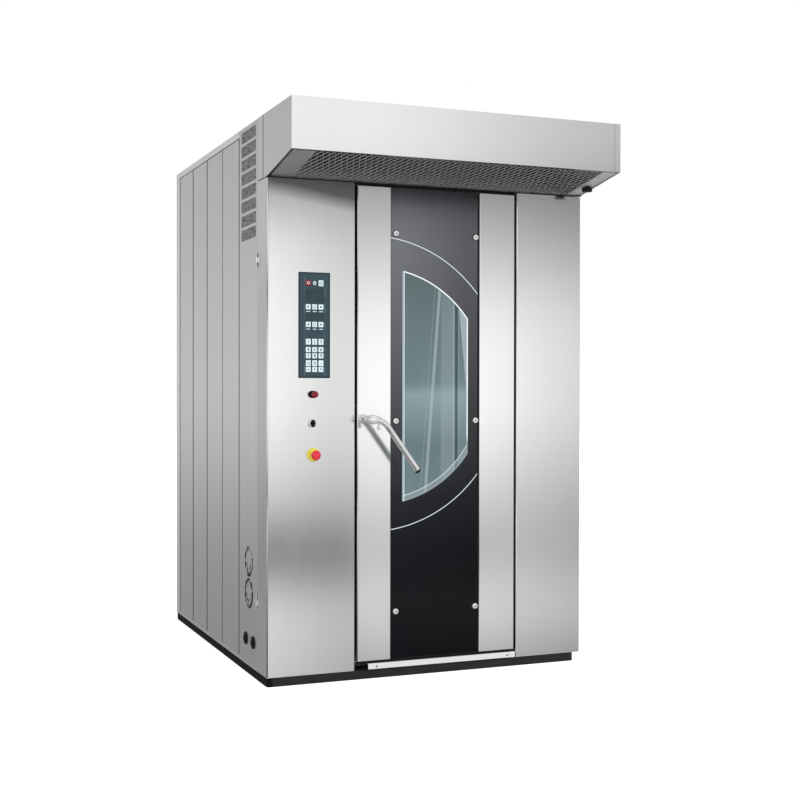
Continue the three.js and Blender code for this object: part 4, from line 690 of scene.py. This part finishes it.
def hood_screen():
    low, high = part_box("hood_grille")
    columns, rows = 50, 4
    step_x = (SCREEN_RIGHT - SCREEN_LEFT) / columns / 2
    step_y = (SCREEN_FAR - SCREEN_NEAR) / rows / 2
    # one cell of expanded sheet: two wide strands that lean one way, two narrow that lean the other
    for name, width, tilt, rising in (("wide", 0.0260, 0.0020, True),
                                      ("narrow", 0.0085, 0.0008, False)):
        form = bmesh.new()
        for i in range(2 * columns):
            for j in range(2 * rows):
                if ((i + j) % 2 == 1) != rising:
                    continue
                ends = ((i, j + 1), (i + 1, j)) if rising else ((i, j), (i + 1, j + 1))
                near, far = [], []
                for across, along in ends:
                    x = SCREEN_LEFT + across * step_x
                    y = SCREEN_NEAR + along * step_y
                    near.append(form.verts.new((x, y - width / 2, screen_height(y) + tilt)))
                    far.append(form.verts.new((x, y + width / 2, screen_height(y) - tilt)))
                form.faces.new((near[0], near[1], far[1], far[0]))
        bmesh.ops.remove_doubles(form, verts=form.verts, dist=1e-5)
        bmesh.ops.recalc_face_normals(form, faces=form.faces)
        bmesh.ops.solidify(form, geom=form.faces, thickness=0.0012)
        shown(f"hood_screen_{name}", form, SCREEN, "cabinet", ["hood_grille"])
    # the sheet round the screen
    form = bmesh.new()
    rings = []
    for x0, y0, x1, y1 in ((low.x, low.y, high.x, high.y),
                           (SCREEN_LEFT, SCREEN_NEAR, SCREEN_RIGHT, SCREEN_FAR)):
        corners = [(x0, y0), (x1, y0), (x1, y1), (x0, y1)]
        rings.append([form.verts.new((x, y, screen_height(y))) for x, y in corners])
    for ring in rings:
        for k in range(4):
            form.edges.new((ring[k], ring[(k + 1) % 4]))
    bmesh.ops.bridge_loops(form, edges=form.edges)
    bmesh.ops.recalc_face_normals(form, faces=form.faces)
    bmesh.ops.solidify(form, geom=form.faces, thickness=0.0015)
    shown("hood_screen_border", form, HOOD_INSIDE, "cabinet", ["hood_grille"])


# ------------------------------------------------------------------ door bolts and small hardware
BOLTS = [f"glass_bolt_{index}" for index in range(1, 7)]


def glass_bolts():
    for index, node in enumerate(BOLTS, 1):
        low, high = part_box(node)
        front = -low.y
        turned_piece(f"bolt_cap_{index}", [
            (0.0, front - 0.0022), (0.0022, front - 0.0021), (0.0031, front - 0.0003),
            (0.0038, front), (0.0098, front - 0.0003), (0.0110, front - 0.0011),
            (0.0122, front - 0.0030), (0.0125, front - 0.0060), (0.0060, front - 0.0062),
            (0.0060, -high.y), (0.0, -high.y),
        ], front_centre(node), OUT, 32, LEVER, "door", [node])


def bolt_sockets():
    """Near-black hexagons in the middle of the bolts: painted shade in their sockets."""
    form = bmesh.new()
    for node in BOLTS:
        x, _, z = front_centre(node)
        bmesh.ops.create_cone(
            form, cap_ends=True, segments=6, radius1=0.0038, radius2=0.0034, depth=0.0012,
            matrix=Matrix.Translation((x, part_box(node)[0].y + 0.0003, z)) @ STOOD_UP)
    shown("bolt_sockets", form, SEALANT, "door")


def bolt_washers():
    face = -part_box("door_glass")[0].y
    for index, node in enumerate(BOLTS, 1):
        turned_piece(f"bolt_washer_{index}", [
            (0.0115, face), (0.0150, face), (0.0150, face + 0.0007), (0.0142, face + 0.0012),
            (0.0115, face + 0.0012), (0.0115, face),
        ], front_centre(node), OUT, 32, RUBBER, "door")


def rod_profile(radius, start, end, bevel):
    """A closed rod from start to end along its axis, its two edges rounded."""
    ease = bevel * 0.3
    return [(0.0, start), (radius - bevel, start), (radius - ease, start + ease),
            (radius, start + bevel), (radius, end - bevel), (radius - ease, end - ease),
            (radius - bevel, end), (0.0, end)]


def tube(form, path, radius, sides=24):
    """Carry a circle along a path, turning it at each point."""
    path = [Vector(place) for place in path]
    ways = [(after - before).normalized() for before, after in zip(path, path[1:])]
    facing = [ways[0]] + [(a + b).normalized() for a, b in zip(ways, ways[1:])] + [ways[-1]]
    turn = Vector((0.0, 0.0, 1.0)).rotation_difference(facing[0]).to_matrix().to_4x4()
    ring = bmesh.ops.create_circle(form, cap_ends=True, segments=sides, radius=radius,
                                   matrix=Matrix.Translation(path[0]) @ turn)
    edges = list({edge for vert in ring["verts"] for edge in vert.link_edges})
    for k in range(1, len(path)):
        made = bmesh.ops.extrude_edge_only(form, edges=edges)["geom"]
        verts = [item for item in made if isinstance(item, bmesh.types.BMVert)]
        edges = [item for item in made if isinstance(item, bmesh.types.BMEdge) and item.is_boundary]
        turn = facing[k - 1].rotation_difference(facing[k]).to_matrix().to_4x4()
        bmesh.ops.transform(form, verts=verts, matrix=(
            Matrix.Translation(path[k]) @ turn @ Matrix.Translation(-path[k - 1])))
    bmesh.ops.edgeloop_fill(form, edges=edges)


# ------------------------------------------------------------------ lever handle
SPINDLE_X, SPINDLE_Z = -0.303, 1.073
LEVER_Y = -0.9435
ELBOW = Vector((-0.254, LEVER_Y, 1.063))
LEVER_END = Vector((-0.104, LEVER_Y, 0.857))
LEVER_RADIUS = 0.0122


def lever_handle():
    centre = (SPINDLE_X, 0.0, SPINDLE_Z)
    low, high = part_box("handle_base")
    back, face = -high.y, -low.y
    turned_piece("handle_socket", [
        (0.0095, back), (0.020, back), (0.020, back + 0.005), (0.0192, back + 0.0068),
        (0.0175, back + 0.0078), (0.0163, back + 0.0086), (0.0158, back + 0.011),
        (0.0158, back + 0.046), (0.0146, back + 0.0475), (0.0146, back + 0.0500),
        (0.0160, back + 0.0515), (0.0160, face - 0.002), (0.0154, face - 0.0006),
        (0.0142, face), (0.0095, face), (0.0095, back),
    ], centre, OUT, 40, LEVER, "door", ["handle_base"])

    low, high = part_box("handle_lever")
    front = -low.y
    hub_back = front - 0.042
    form = bmesh.new()
    lathe(form, [
        (0.0, front), (0.0100, front), (0.0112, front - 0.0006), (0.0118, front - 0.0018),
        (0.0160, front - 0.0022), (0.0178, front - 0.0032), (0.0188, front - 0.0055),
        (0.0190, front - 0.009), (0.0190, hub_back + 0.003), (0.0182, hub_back + 0.0008),
        (0.0165, hub_back), (0.0085, hub_back), (0.0085, -high.y), (0.0, -high.y)], centre, OUT, 40)
    start = Vector((SPINDLE_X, LEVER_Y, SPINDLE_Z))
    cap = 0.0102
    way_in, way_out = (ELBOW - start).normalized(), (LEVER_END - ELBOW).normalized()
    bend_start, bend_end = ELBOW - way_in * 0.020, ELBOW + way_out * 0.026
    bend = []
    for k in range(9):
        t = k / 8
        bend.append(bend_start * (1 - t) ** 2 + ELBOW * (2 * t * (1 - t)) + bend_end * t ** 2)
    tube(form, [start, *bend, LEVER_END - way_out * cap], LEVER_RADIUS, 28)
    # the clamp's bolt through the hub, a nut on each end
    bolt_x = SPINDLE_X + 0.024
    bolt = (bolt_x, LEVER_Y, 0.0)
    lathe(form, rod_profile(0.005, 1.032, 1.087, 0.0012), bolt, (0.0, 0.0, 1.0), 20)
    for height in (1.035, 1.076):
        made = bmesh.ops.create_cone(
            form, cap_ends=True, segments=6, radius1=0.009, radius2=0.009, depth=0.008,
            matrix=Matrix.Translation((bolt_x, LEVER_Y, height + 0.004)))
        rounded(form, made["verts"], 0.0008)
    shown("handle_bar", form, LEVER_BAR, "handle", ["handle_lever"], crease=40.0)

    turned_piece("handle_tip", [
        (0.0, 0.0001), (0.0122, 0.0001), (0.0124, 0.0015), (0.0124, 0.0062), (0.0114, 0.0086),
        (0.0085, 0.0099), (0.0, 0.0102),
    ], LEVER_END - way_out * cap, way_out, 28, BLACK, "handle", ["handle_end_cap"])


# ------------------------------------------------------------------ controls on the cover
def push_buttons():
    centre = front_centre("estop_base")
    back, face = 0.8302, -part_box("estop_base")[0].y
    turned_piece("stop_collar", [
        (0.0092, back), (0.0280, back), (0.0280, back + 0.0028), (0.0272, back + 0.0044),
        (0.0256, back + 0.0052), (0.0232, face - 0.0030), (0.0222, face - 0.0008), (0.0208, face),
        (0.0135, face), (0.0122, face - 0.0015), (0.0092, face - 0.0018), (0.0092, back),
    ], centre, OUT, 40, YELLOW, "control_cover", ["estop_base"])

    low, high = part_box("estop_button")
    front = -low.y
    turned_piece("stop_mushroom", [
        (0.0, front), (0.0050, front - 0.0002), (0.0105, front - 0.0010), (0.0150, front - 0.0026),
        (0.0182, front - 0.0054), (0.0197, front - 0.0088), (0.0200, front - 0.0120),
        (0.0194, front - 0.0150), (0.0176, front - 0.0170), (0.0100, front - 0.0180),
        (0.0080, front - 0.0192), (0.0080, -high.y), (0.0, -high.y),
    ], centre, OUT, 40, RED, "estop_button", ["estop_button"])

    low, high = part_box("reset_button")
    front = -low.y
    turned_piece("reset_cap", [
        (0.0, front - 0.0006), (0.0080, front - 0.0004), (0.0098, front), (0.0116, front - 0.0006),
        (0.0127, front - 0.0022), (0.0130, front - 0.0048), (0.0130, 0.8340), (0.0050, 0.8338),
        (0.0050, -high.y), (0.0, -high.y),
    ], front_centre("reset_button"), OUT, 32, CRIMSON, "reset_button",
        ["reset_button"])


def selector():
    low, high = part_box("selector_knob")
    centre = x, _, z = front_centre("selector_knob")
    back, front = 0.8342, -low.y
    turned_piece("selector_bezel", [
        (0.0050, back), (0.0168, back), (0.0170, back + 0.0010), (0.0166, back + 0.0050),
        (0.0152, back + 0.0085), (0.0138, back + 0.0098), (0.0122, back + 0.0098),
        (0.0118, back + 0.0085), (0.0050, back + 0.0080), (0.0050, back),
    ], centre, OUT, 40, LEVER, "selector_knob", ["selector_knob"])
    form = bmesh.new()
    lathe(form, [
        (0.0, back + 0.0118), (0.0095, back + 0.0115), (0.0110, back + 0.0100),
        (0.0114, back + 0.0080), (0.0050, back + 0.0078), (0.0050, -high.y), (0.0, -high.y),
    ], centre, OUT, 36)
    # grip across the dial, narrow at its front
    verts = slab(form, (x - 0.0044, -front, z - 0.0150), (x + 0.0044, -back - 0.0100, z + 0.0150))
    for vert in verts:
        if vert.co.y < -front + 0.001:
            vert.co.x = x + (vert.co.x - x) * 0.62
            vert.co.z = z + (vert.co.z - z) * 0.90
    rounded(form, verts, 0.0010, 3)
    shown("selector_grip", form, BLACK, "selector_knob", ["selector_knob"])
    block_piece("selector_pointer", (x - 0.0007, -front + 0.0001, z + 0.002),
                (x + 0.0007, -front + 0.0006, z + 0.011), 0.0002, 1, KEYCAP, "selector_knob")


# ------------------------------------------------------------------ keypad
KEY_COLUMNS = (-0.542, -0.515, -0.488)
SIGN_ROW = 1.6245
ARROW_ROWS = (1.528, 1.457)
FIGURE_ROWS = {1.387: "123", 1.3554: "456", 1.3304: "789", 1.3004: " 0-", 1.275: " +="}


def keypad_keys():
    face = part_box("keypad")[0].y
    keys, marks = bmesh.new(), bmesh.new()
    talls = (0.0235, 0.021, 0.021, 0.0235, 0.0205, 0.0205, 0.0235, 0.0205)
    for number, (z, tall) in enumerate(zip((SIGN_ROW, *ARROW_ROWS, *FIGURE_ROWS), talls)):
        for column, x in enumerate(KEY_COLUMNS):
            if number == 0 and column < 2:
                continue
            wide = 0.0205
            slab(keys, (x - wide / 2, face - 0.0008, z - tall / 2),
                 (x + wide / 2, face + 0.0004, z + tall / 2), 0.0005, 2)
            if number in (1, 2):
                slab(keys, (x - 0.008, face - 0.0003, z - 0.0205),
                     (x + 0.008, face + 0.0003, z - 0.0175), 0.0001, 1)
    # the lamp key's sign stands bare on the film
    for turn in range(6):
        angle = turn * math.tau / 6
        x, z = KEY_COLUMNS[1] + 0.0050 * math.cos(angle), SIGN_ROW + 0.0062 * math.sin(angle)
        slab(keys, (x - 0.0021, face - 0.0006, z - 0.0028),
             (x + 0.0021, face + 0.0002, z + 0.0028), 0.0004, 1)
    shown("keypad_keys", keys, KEYCAP, "control_cover", crease=50.0)
    # plain signs on the keys: rings, bars and arrow heads, and the figures 1 to 9
    front = 0.0008 - face
    tip = front + 0.0002

    def ring(x, z, radius, width):
        inner, back = radius - width, front - 0.0001
        lathe(marks, [(inner, back), (radius, back), (radius, tip), (inner, tip), (inner, back)],
              (x, 0.0, z), OUT, 20)

    def bar(x, z, wide, tall):
        slab(marks, (x - wide / 2, -tip, z - tall / 2), (x + wide / 2, -front, z + tall / 2))

    def arrow(x, z, size, way):
        bmesh.ops.create_cone(
            marks, cap_ends=True, segments=3, radius1=size, radius2=size, depth=0.0002,
            matrix=Matrix.Translation((x, -front - 0.0001, z)) @ STOOD_UP
            @ Matrix.Rotation(way, 4, "Z"))

    left, middle, right = KEY_COLUMNS
    ring(right, SIGN_ROW, 0.0066, 0.0016)
    bar(right, SIGN_ROW, 0.0016, 0.0070)
    for z in ARROW_ROWS:
        arrow(left, z, 0.0062, math.radians(90.0))
        ring(middle, z, 0.0060, 0.0018)
        arrow(right, z, 0.0062, math.radians(-90.0))
    *_, ring_row, bar_row = FIGURE_ROWS
    ring(left, ring_row, 0.0058, 0.0016)
    bar(left, bar_row, 0.010, 0.0030)
    shown("key_signs", marks, KEYMARK, "control_cover")

    stop = (left, 0.0, SIGN_ROW)
    turned_piece("stop_key", [
        (0.0, front), (0.0128, front), (0.0136, front - 0.0004), (0.0136, front - 0.0012),
        (0.0, front - 0.0012)], stop, OUT, 36, CRIMSON, "control_cover")
    turned_piece("stop_key_ring", [
        (0.0042, front - 0.0001), (0.0062, front - 0.0001), (0.0062, tip), (0.0042, tip),
        (0.0042, front - 0.0001)], stop, OUT, 24, KEYCAP, "control_cover")
    figures("keypad_figures", [
        (sign, x, z) for z, signs in FIGURE_ROWS.items() for sign, x in zip(signs, KEY_COLUMNS)
        if sign != " "], 0.0175, -tip)
    form = bmesh.new()
    for low_z, high_z in ((1.544, 1.601), (1.472, 1.507)):
        slab(form, (-0.5545, face - 0.0003, low_z), (-0.4745, face + 0.0003, high_z), 0.0002, 1)
    shown("keypad_displays", form, DISPLAY, "control_cover")


def figures(name, places, size, face):
    """Plain figures as thin flat shapes on a face towards the front."""
    form = bmesh.new()
    for text, x, z in places:
        curve = bpy.data.curves.new(name, "FONT")
        curve.body = text
        curve.size = size
        curve.align_x, curve.align_y = "CENTER", "CENTER"
        curve.resolution_u = 3
        curve.offset = 0.0004
        made = bpy.data.objects.new(name, curve)
        bpy.context.scene.collection.objects.link(made)
        bpy.context.view_layer.update()
        flat = bpy.data.meshes.new_from_object(made)
        bpy.data.objects.remove(made)
        flat.transform(Matrix.Translation((x, face + 0.00002, z)) @ STOOD_UP)
        form.from_mesh(flat)
        bpy.data.meshes.remove(flat)
    shown(name, form, KEYMARK, "control_cover")


# ------------------------------------------------------------------ side fittings and joints
def cable_glands():
    for name in ("cable_gland_front", "cable_gland_rear"):
        low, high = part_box(name)
        centre = (0.0, (low.y + high.y) / 2, (low.z + high.z) / 2)
        face, back = -low.x, 0.7151
        form = bmesh.new()
        lathe(form, [
            (0.0060, face), (0.0105, face), (0.0128, face - 0.0008), (0.0140, face - 0.0025),
            (0.0145, face - 0.0042), (0.0255, face - 0.0050), (0.0268, face - 0.0062),
            (0.0270, back), (0.0060, back), (0.0060, face)], centre, (-1.0, 0.0, 0.0), 32)
        made = bmesh.ops.create_cone(
            form, cap_ends=True, segments=6, radius1=0.0215, radius2=0.0205, depth=0.0035,
            matrix=Matrix.Translation((-(face - 0.0045), centre[1], centre[2]))
            @ Matrix.Rotation(math.radians(-90.0), 4, "Y"))
        rounded(form, made["verts"], 0.0006)
        shown(f"{name}_nut", form, BLACK, "cabinet", [name])


def joint_sealant():
    """Dark sealant in the upright joints of the side, and under the roof's folded edge."""
    form = bmesh.new()
    widths = (0.0090, 0.0050, 0.0110, 0.0125, 0.0085)
    ends = [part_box(f"left_panel_{index}")[1].y for index in range(1, 6)]
    for y, width in zip(ends, widths):
        slab(form, (-0.7156, y + 0.001 - width / 2, 0.0515),
             (-0.7100, y + 0.001 + width / 2, 2.2685), 0.0006, 2)
    slab(form, (-0.7156, ends[0] + 0.004, 2.2655), (-0.7100, ends[4], 2.2695), 0.0006, 2)
    shown("side_joint_sealant", form, SEALANT, "cabinet", crease=50.0)
    form = bmesh.new()
    slab(form, (-0.7130, -0.8420, 2.0424), (0.7130, -0.8304, 2.0450), 0.0008, 2)
    slab(form, (-0.7156, -0.7780, 2.0470), (-0.7100, -0.7725, 2.2990), 0.0006, 2)
    shown("hood_seal_strip", form, RUBBER, "cabinet", crease=50.0)
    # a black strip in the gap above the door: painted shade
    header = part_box("front_header")[0].y
    block_piece("header_gap_strip", (-0.3335, header - 0.0012, 2.0312),
                (0.3955, header - 0.0002, 2.0438), 0.0004, 1, BLACK, "cabinet")
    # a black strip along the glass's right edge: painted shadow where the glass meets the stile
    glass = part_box("door_glass")
    block_piece("glass_edge_shadow", (glass[1].x - 0.0080, glass[0].y - 0.0005, glass[0].z + 0.001),
                (glass[1].x + 0.0003, glass[0].y + 0.0004, glass[1].z - 0.001), 0.0002, 1, BLACK,
                "door")
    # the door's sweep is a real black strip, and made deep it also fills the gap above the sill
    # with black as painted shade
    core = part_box("door_core")
    block_piece("door_sweep", (core[0].x + 0.001, -0.8290, 0.0634),
                (core[1].x - 0.001, -0.8120, 0.0760), 0.0010, 2, BLACK, "door", 50.0)
    # folded steel edge that closes the leaf between its front and its pan
    form = bmesh.new()
    grown = Vector((0.0003, 0.0, 0.0003))
    low, high = core[0] - grown, core[1] + grown
    for near, far in (((low.x, low.z), (low.x + 0.002, 1.010)),
                      ((low.x, 1.150), (low.x + 0.002, high.z)),
                      ((high.x - 0.002, low.z), (high.x, high.z)),
                      ((low.x, low.z), (high.x, low.z + 0.002)),
                      ((low.x, high.z - 0.002), (high.x, high.z))):
        slab(form, (near[0], -0.7858, near[1]), (far[0], high.y - 0.0002, far[1]), 0.0004, 1)
    for near, far in (((low.x, low.z), (low.x + 0.016, high.z)),
                      ((high.x - 0.016, low.z), (high.x, high.z)),
                      ((low.x, low.z), (high.x, low.z + 0.010)),
                      ((low.x, high.z - 0.016), (high.x, high.z))):
        slab(form, (near[0], high.y - 0.0012, near[1]), (far[0], high.y + 0.0002, far[1]),
             0.0004, 1)
    shown("door_edge_fold", form, TRIM, "door", crease=50.0)


def edge_folds():
    """Rounded folds at the upright edges of the front sheets."""
    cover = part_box("control_cover")
    block_piece("cover_fold", (-0.7158, -0.8307, cover[0].z + 0.001),
                (-0.7076, -0.8225, cover[1].z - 0.001), 0.0036, 4, FRONT, "control_cover",
                60.0)
    stile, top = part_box("door_stile_left")
    block_piece("stile_fold", (stile.x - 0.0004, stile.y - 0.0006, stile.z + 0.001),
                (stile.x + 0.0050, stile.y + 0.0054, top.z - 0.001), 0.0025, 4, FRONT, "door",
                60.0)
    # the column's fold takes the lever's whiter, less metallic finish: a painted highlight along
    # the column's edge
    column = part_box("right_front_panel")[0]
    block_piece("column_fold", (column.x - 0.0004, column.y - 0.0006, 0.0525),
                (column.x + 0.0050, column.y + 0.0054, 2.0400), 0.0025, 4, LEVER, "cabinet",
                60.0)


def sheet_screws():
    """Domed screws: the sill's two, and those that hold the cladding at the right and the back."""
    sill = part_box("door_sill")
    form = bmesh.new()
    for x in (sill[0].x + 0.037, sill[1].x - 0.037):
        front = -sill[0].y
        lathe(form, [(0.0, front + 0.0021), (0.0030, front + 0.0018), (0.0050, front + 0.0006),
                     (0.0054, front - 0.0006), (0.0, front - 0.0008)],
              (x, 0.0, (sill[0].z + sill[1].z) / 2), OUT, 20)
    shown("sill_screws", form, CHROME, "cabinet")
    form = bmesh.new()
    dome = [(0.0, 0.0020), (0.0032, 0.0016), (0.0055, 0.0004), (0.0058, -0.0006), (0.0, -0.0008)]

    def rows(low, high, places, axis):
        """Six screws up the sheet at each place, sunk a little into its face."""
        face = axis.dot(high) - 0.0022
        for place in places:
            for k in range(6):
                centre = (*place, low.z + 0.06 + k * (high.z - low.z - 0.12) / 5)
                lathe(form, [(r, face + a) for r, a in dome], centre, axis, 10)

    for node in ("right_panel_1", "right_panel_2"):
        low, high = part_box(node)
        rows(low, high, ((0.0, low.y + 0.018), (0.0, high.y - 0.018)), Vector((1.0, 0.0, 0.0)))
    low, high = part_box("rear_panel")
    rows(low, high, ((low.x + 0.022, 0.0), (high.x - 0.022, 0.0), (0.0, 0.0)),
         Vector((0.0, 1.0, 0.0)))
    shown("cladding_screws", form, CHROME, "cabinet")


# ------------------------------------------------------------------ camera, light and floor
CAMERA_PLACE = (-2.16543, -5.80779, 1.20655)
CAMERA_TURN, CAMERA_PITCH, CAMERA_ROLL = 22.137, -0.598, 0.095  # degrees
CAMERA_LENS, CAMERA_SENSOR = 58.12, 36.0  # millimetres


def photo_camera():
    turn, pitch, roll = (math.radians(angle) for angle in (CAMERA_TURN, CAMERA_PITCH, CAMERA_ROLL))
    level = math.cos(pitch)
    ahead = Vector((math.sin(turn) * level, math.cos(turn) * level, math.sin(pitch)))
    lens = bpy.data.cameras.new("camera")
    lens.lens = CAMERA_LENS
    lens.sensor_width = CAMERA_SENSOR
    lens.sensor_fit = "HORIZONTAL"
    lens.clip_end = 100.0
    camera = bpy.data.objects.new("camera", lens)
    bpy.context.scene.collection.objects.link(camera)
    camera.matrix_world = (Matrix.Translation(CAMERA_PLACE)
                           @ ahead.to_track_quat("-Z", "Y").to_matrix().to_4x4()
                           @ Matrix.Rotation(roll, 4, "Z"))
    bpy.context.scene.camera = camera


# What the sheets ahead mirror, as display levels at the elevations in PARTS, in degrees. These
# levels aren't an independent choice. They were thinned and rounded from tables that a script
# fitted to the photo's brightness, and they stay close to them.
PARTS = (-30, -20, -13, -9.5, -8, -7, -5, -1, 3, 7, 9.5, 20)
AHEAD_LEFT = (75, 130, 210, 250, 60, 60, 225, 265, 265, 250, 75, 145)
AHEAD_MIDDLE = (60, 100, 145, 245, 200, 165, 225, 275, 260, 190, 120, 135)
AHEAD_RIGHT = (55, 90, 125, 225, 200, 175, 195, 245, 245, 165, 110, 125)
# The room behind to the left, thinned in the same way, and what the hood mirrors, only rounded:
# elevation, display level.
BEHIND_LEFT = [(-30, 110), (-7, 150), (-1, 205), (8, 185), (30, 155)]
HOOD_WALL = [(-30, 200), (10, 235), (14, 255), (19, 240), (30, 190)]


def studio():
    """White room: seen white by the camera; metal sees its walls, floor and darker far side."""
    world = bpy.data.worlds.new("studio")
    bpy.context.scene.world = world
    r = Recipe(world)
    way = r.node("ShaderNodeTexCoord", output="Generated")
    x, y, z = [r.node("ShaderNodeSeparateXYZ", None, {0: way}, axis) for axis in "XYZ"]
    rise = (z.maths("ARCSINE", z) * (180.0 / math.pi) + 30.0) / 60.0
    # bearing in degrees from straight ahead of the oven, to its right
    bearing = x.maths("ARCTAN2", x, -y) * (180.0 / math.pi)

    def wall(profile):
        return r.ramp(rise, [((up + 30.0) / 60.0, linear(level)[0]) for up, level in profile])

    left = r.scaled(wall(zip(PARTS, AHEAD_LEFT)), r.ramp((bearing - 5.0) / 15.0, [
        (0.0, 1.0), (0.55, 1.0), (0.8, 0.58), (1.0, 0.8)]))
    right = r.scaled(wall(zip(PARTS, AHEAD_RIGHT)), r.ramp((bearing - 28.0) / 12.0, [
        (0.0, 1.0), (0.16, 0.82), (0.3, 0.7), (1.0, 0.62)]))
    middle = r.tone(r.step(bearing, 18.4, 1.0), left, wall(zip(PARTS, AHEAD_MIDDLE)))
    ahead = r.tone(r.step(bearing, 26.6, 3.0), middle, right)
    over = r.scaled(wall(HOOD_WALL), r.ramp((bearing - 10.0) / 30.0, [
        (0.0, 1.0), (0.4, 1.0), (0.7, 0.6), (1.0, 0.5)]))
    ahead = r.tone(r.step(rise, 0.697, 0.027), ahead, over)
    # far left and far right of the room ahead are unlit
    ahead = r.scaled(ahead, r.ramp((bearing + 90.0) / 180.0, [
        (0.0, 0.5), (0.2, 0.5), (0.28, 0.7), (0.36, 1.0), (0.75, 1.0), (0.9, 0.6), (1.0, 0.55)]))
    seen = r.tone(r.step(-y, 0.0, 0.3), wall(BEHIND_LEFT), ahead)
    paths = r.tree.nodes.new("ShaderNodeLightPath")
    camera = Wire(r, paths.outputs["Is Camera Ray"])
    through = Wire(r, paths.outputs["Is Transmission Ray"])
    glossy = Wire(r, paths.outputs["Is Glossy Ray"])
    plain = r.tone(glossy, (0.72, 0.72, 0.73), seen)
    colour = r.tone(camera.most(through), plain, (1.0, 1.0, 1.0))
    light = r.node("ShaderNodeBackground", None, {"Color": colour, "Strength": 1.0})
    out = r.tree.nodes.new("ShaderNodeOutputWorld")
    r.tree.links.new(light.socket, out.inputs["Surface"])


def lamp(name, place, target, size, power):
    data = bpy.data.lights.new(name, "AREA")
    data.shape = "RECTANGLE"
    data.size, data.size_y = size
    data.energy = power
    obj = bpy.data.objects.new(name, data)
    bpy.context.scene.collection.objects.link(obj)
    obj.location = place
    obj.rotation_euler = (Vector(target) - Vector(place)).to_track_quat("-Z", "Y").to_euler()
    obj.visible_glossy = False
    return obj


def floor():
    mesh = bpy.data.meshes.new("floor")
    form = bmesh.new()
    bmesh.ops.create_circle(form, cap_ends=True, segments=64, radius=30.0)
    form.to_mesh(mesh)
    form.free()
    r, point, x, y, z = new_finish("floor_paint")
    paths = r.tree.nodes.new("ShaderNodeLightPath")
    camera = Wire(r, paths.outputs["Is Camera Ray"])
    grain = r.noise(point, 40.0, 3.0)
    diffuse = r.node("ShaderNodeBsdfDiffuse", None, {
        "Color": r.tone(grain, (0.80, 0.80, 0.80), (0.83, 0.83, 0.83))})
    white = r.node("ShaderNodeEmission", None, {"Color": (1.0, 1.0, 1.0), "Strength": 0.62})
    both = r.node("ShaderNodeAddShader", None, {0: diffuse, 1: white})
    surface = r.node("ShaderNodeMixShader", None, {0: camera, 1: diffuse, 2: both})
    out = r.tree.nodes.new("ShaderNodeOutputMaterial")
    r.tree.links.new(surface.socket, out.inputs["Surface"])
    mesh.materials.append(r.owner)
    obj = bpy.data.objects.new("floor", mesh)
    bpy.context.scene.collection.objects.link(obj)
    obj.visible_glossy = False


dress_nodes()
hood_screen()
glass_bolts()
bolt_washers()
bolt_sockets()
lever_handle()
push_buttons()
selector()
keypad_keys()
cable_glands()
joint_sealant()
edge_folds()
sheet_screws()
photo_camera()
studio()
lamp("key", (2.6, -4.6, 3.6), (-0.2, -0.83, 1.1), (1.2, 1.2), 150.0)
lamp("fill", (-4.5, -3.0, 3.0), (-0.7, 0.0, 1.2), (2.5, 2.5), 60.0)
floor()

bpy.context.scene.view_settings.view_transform = "Standard"
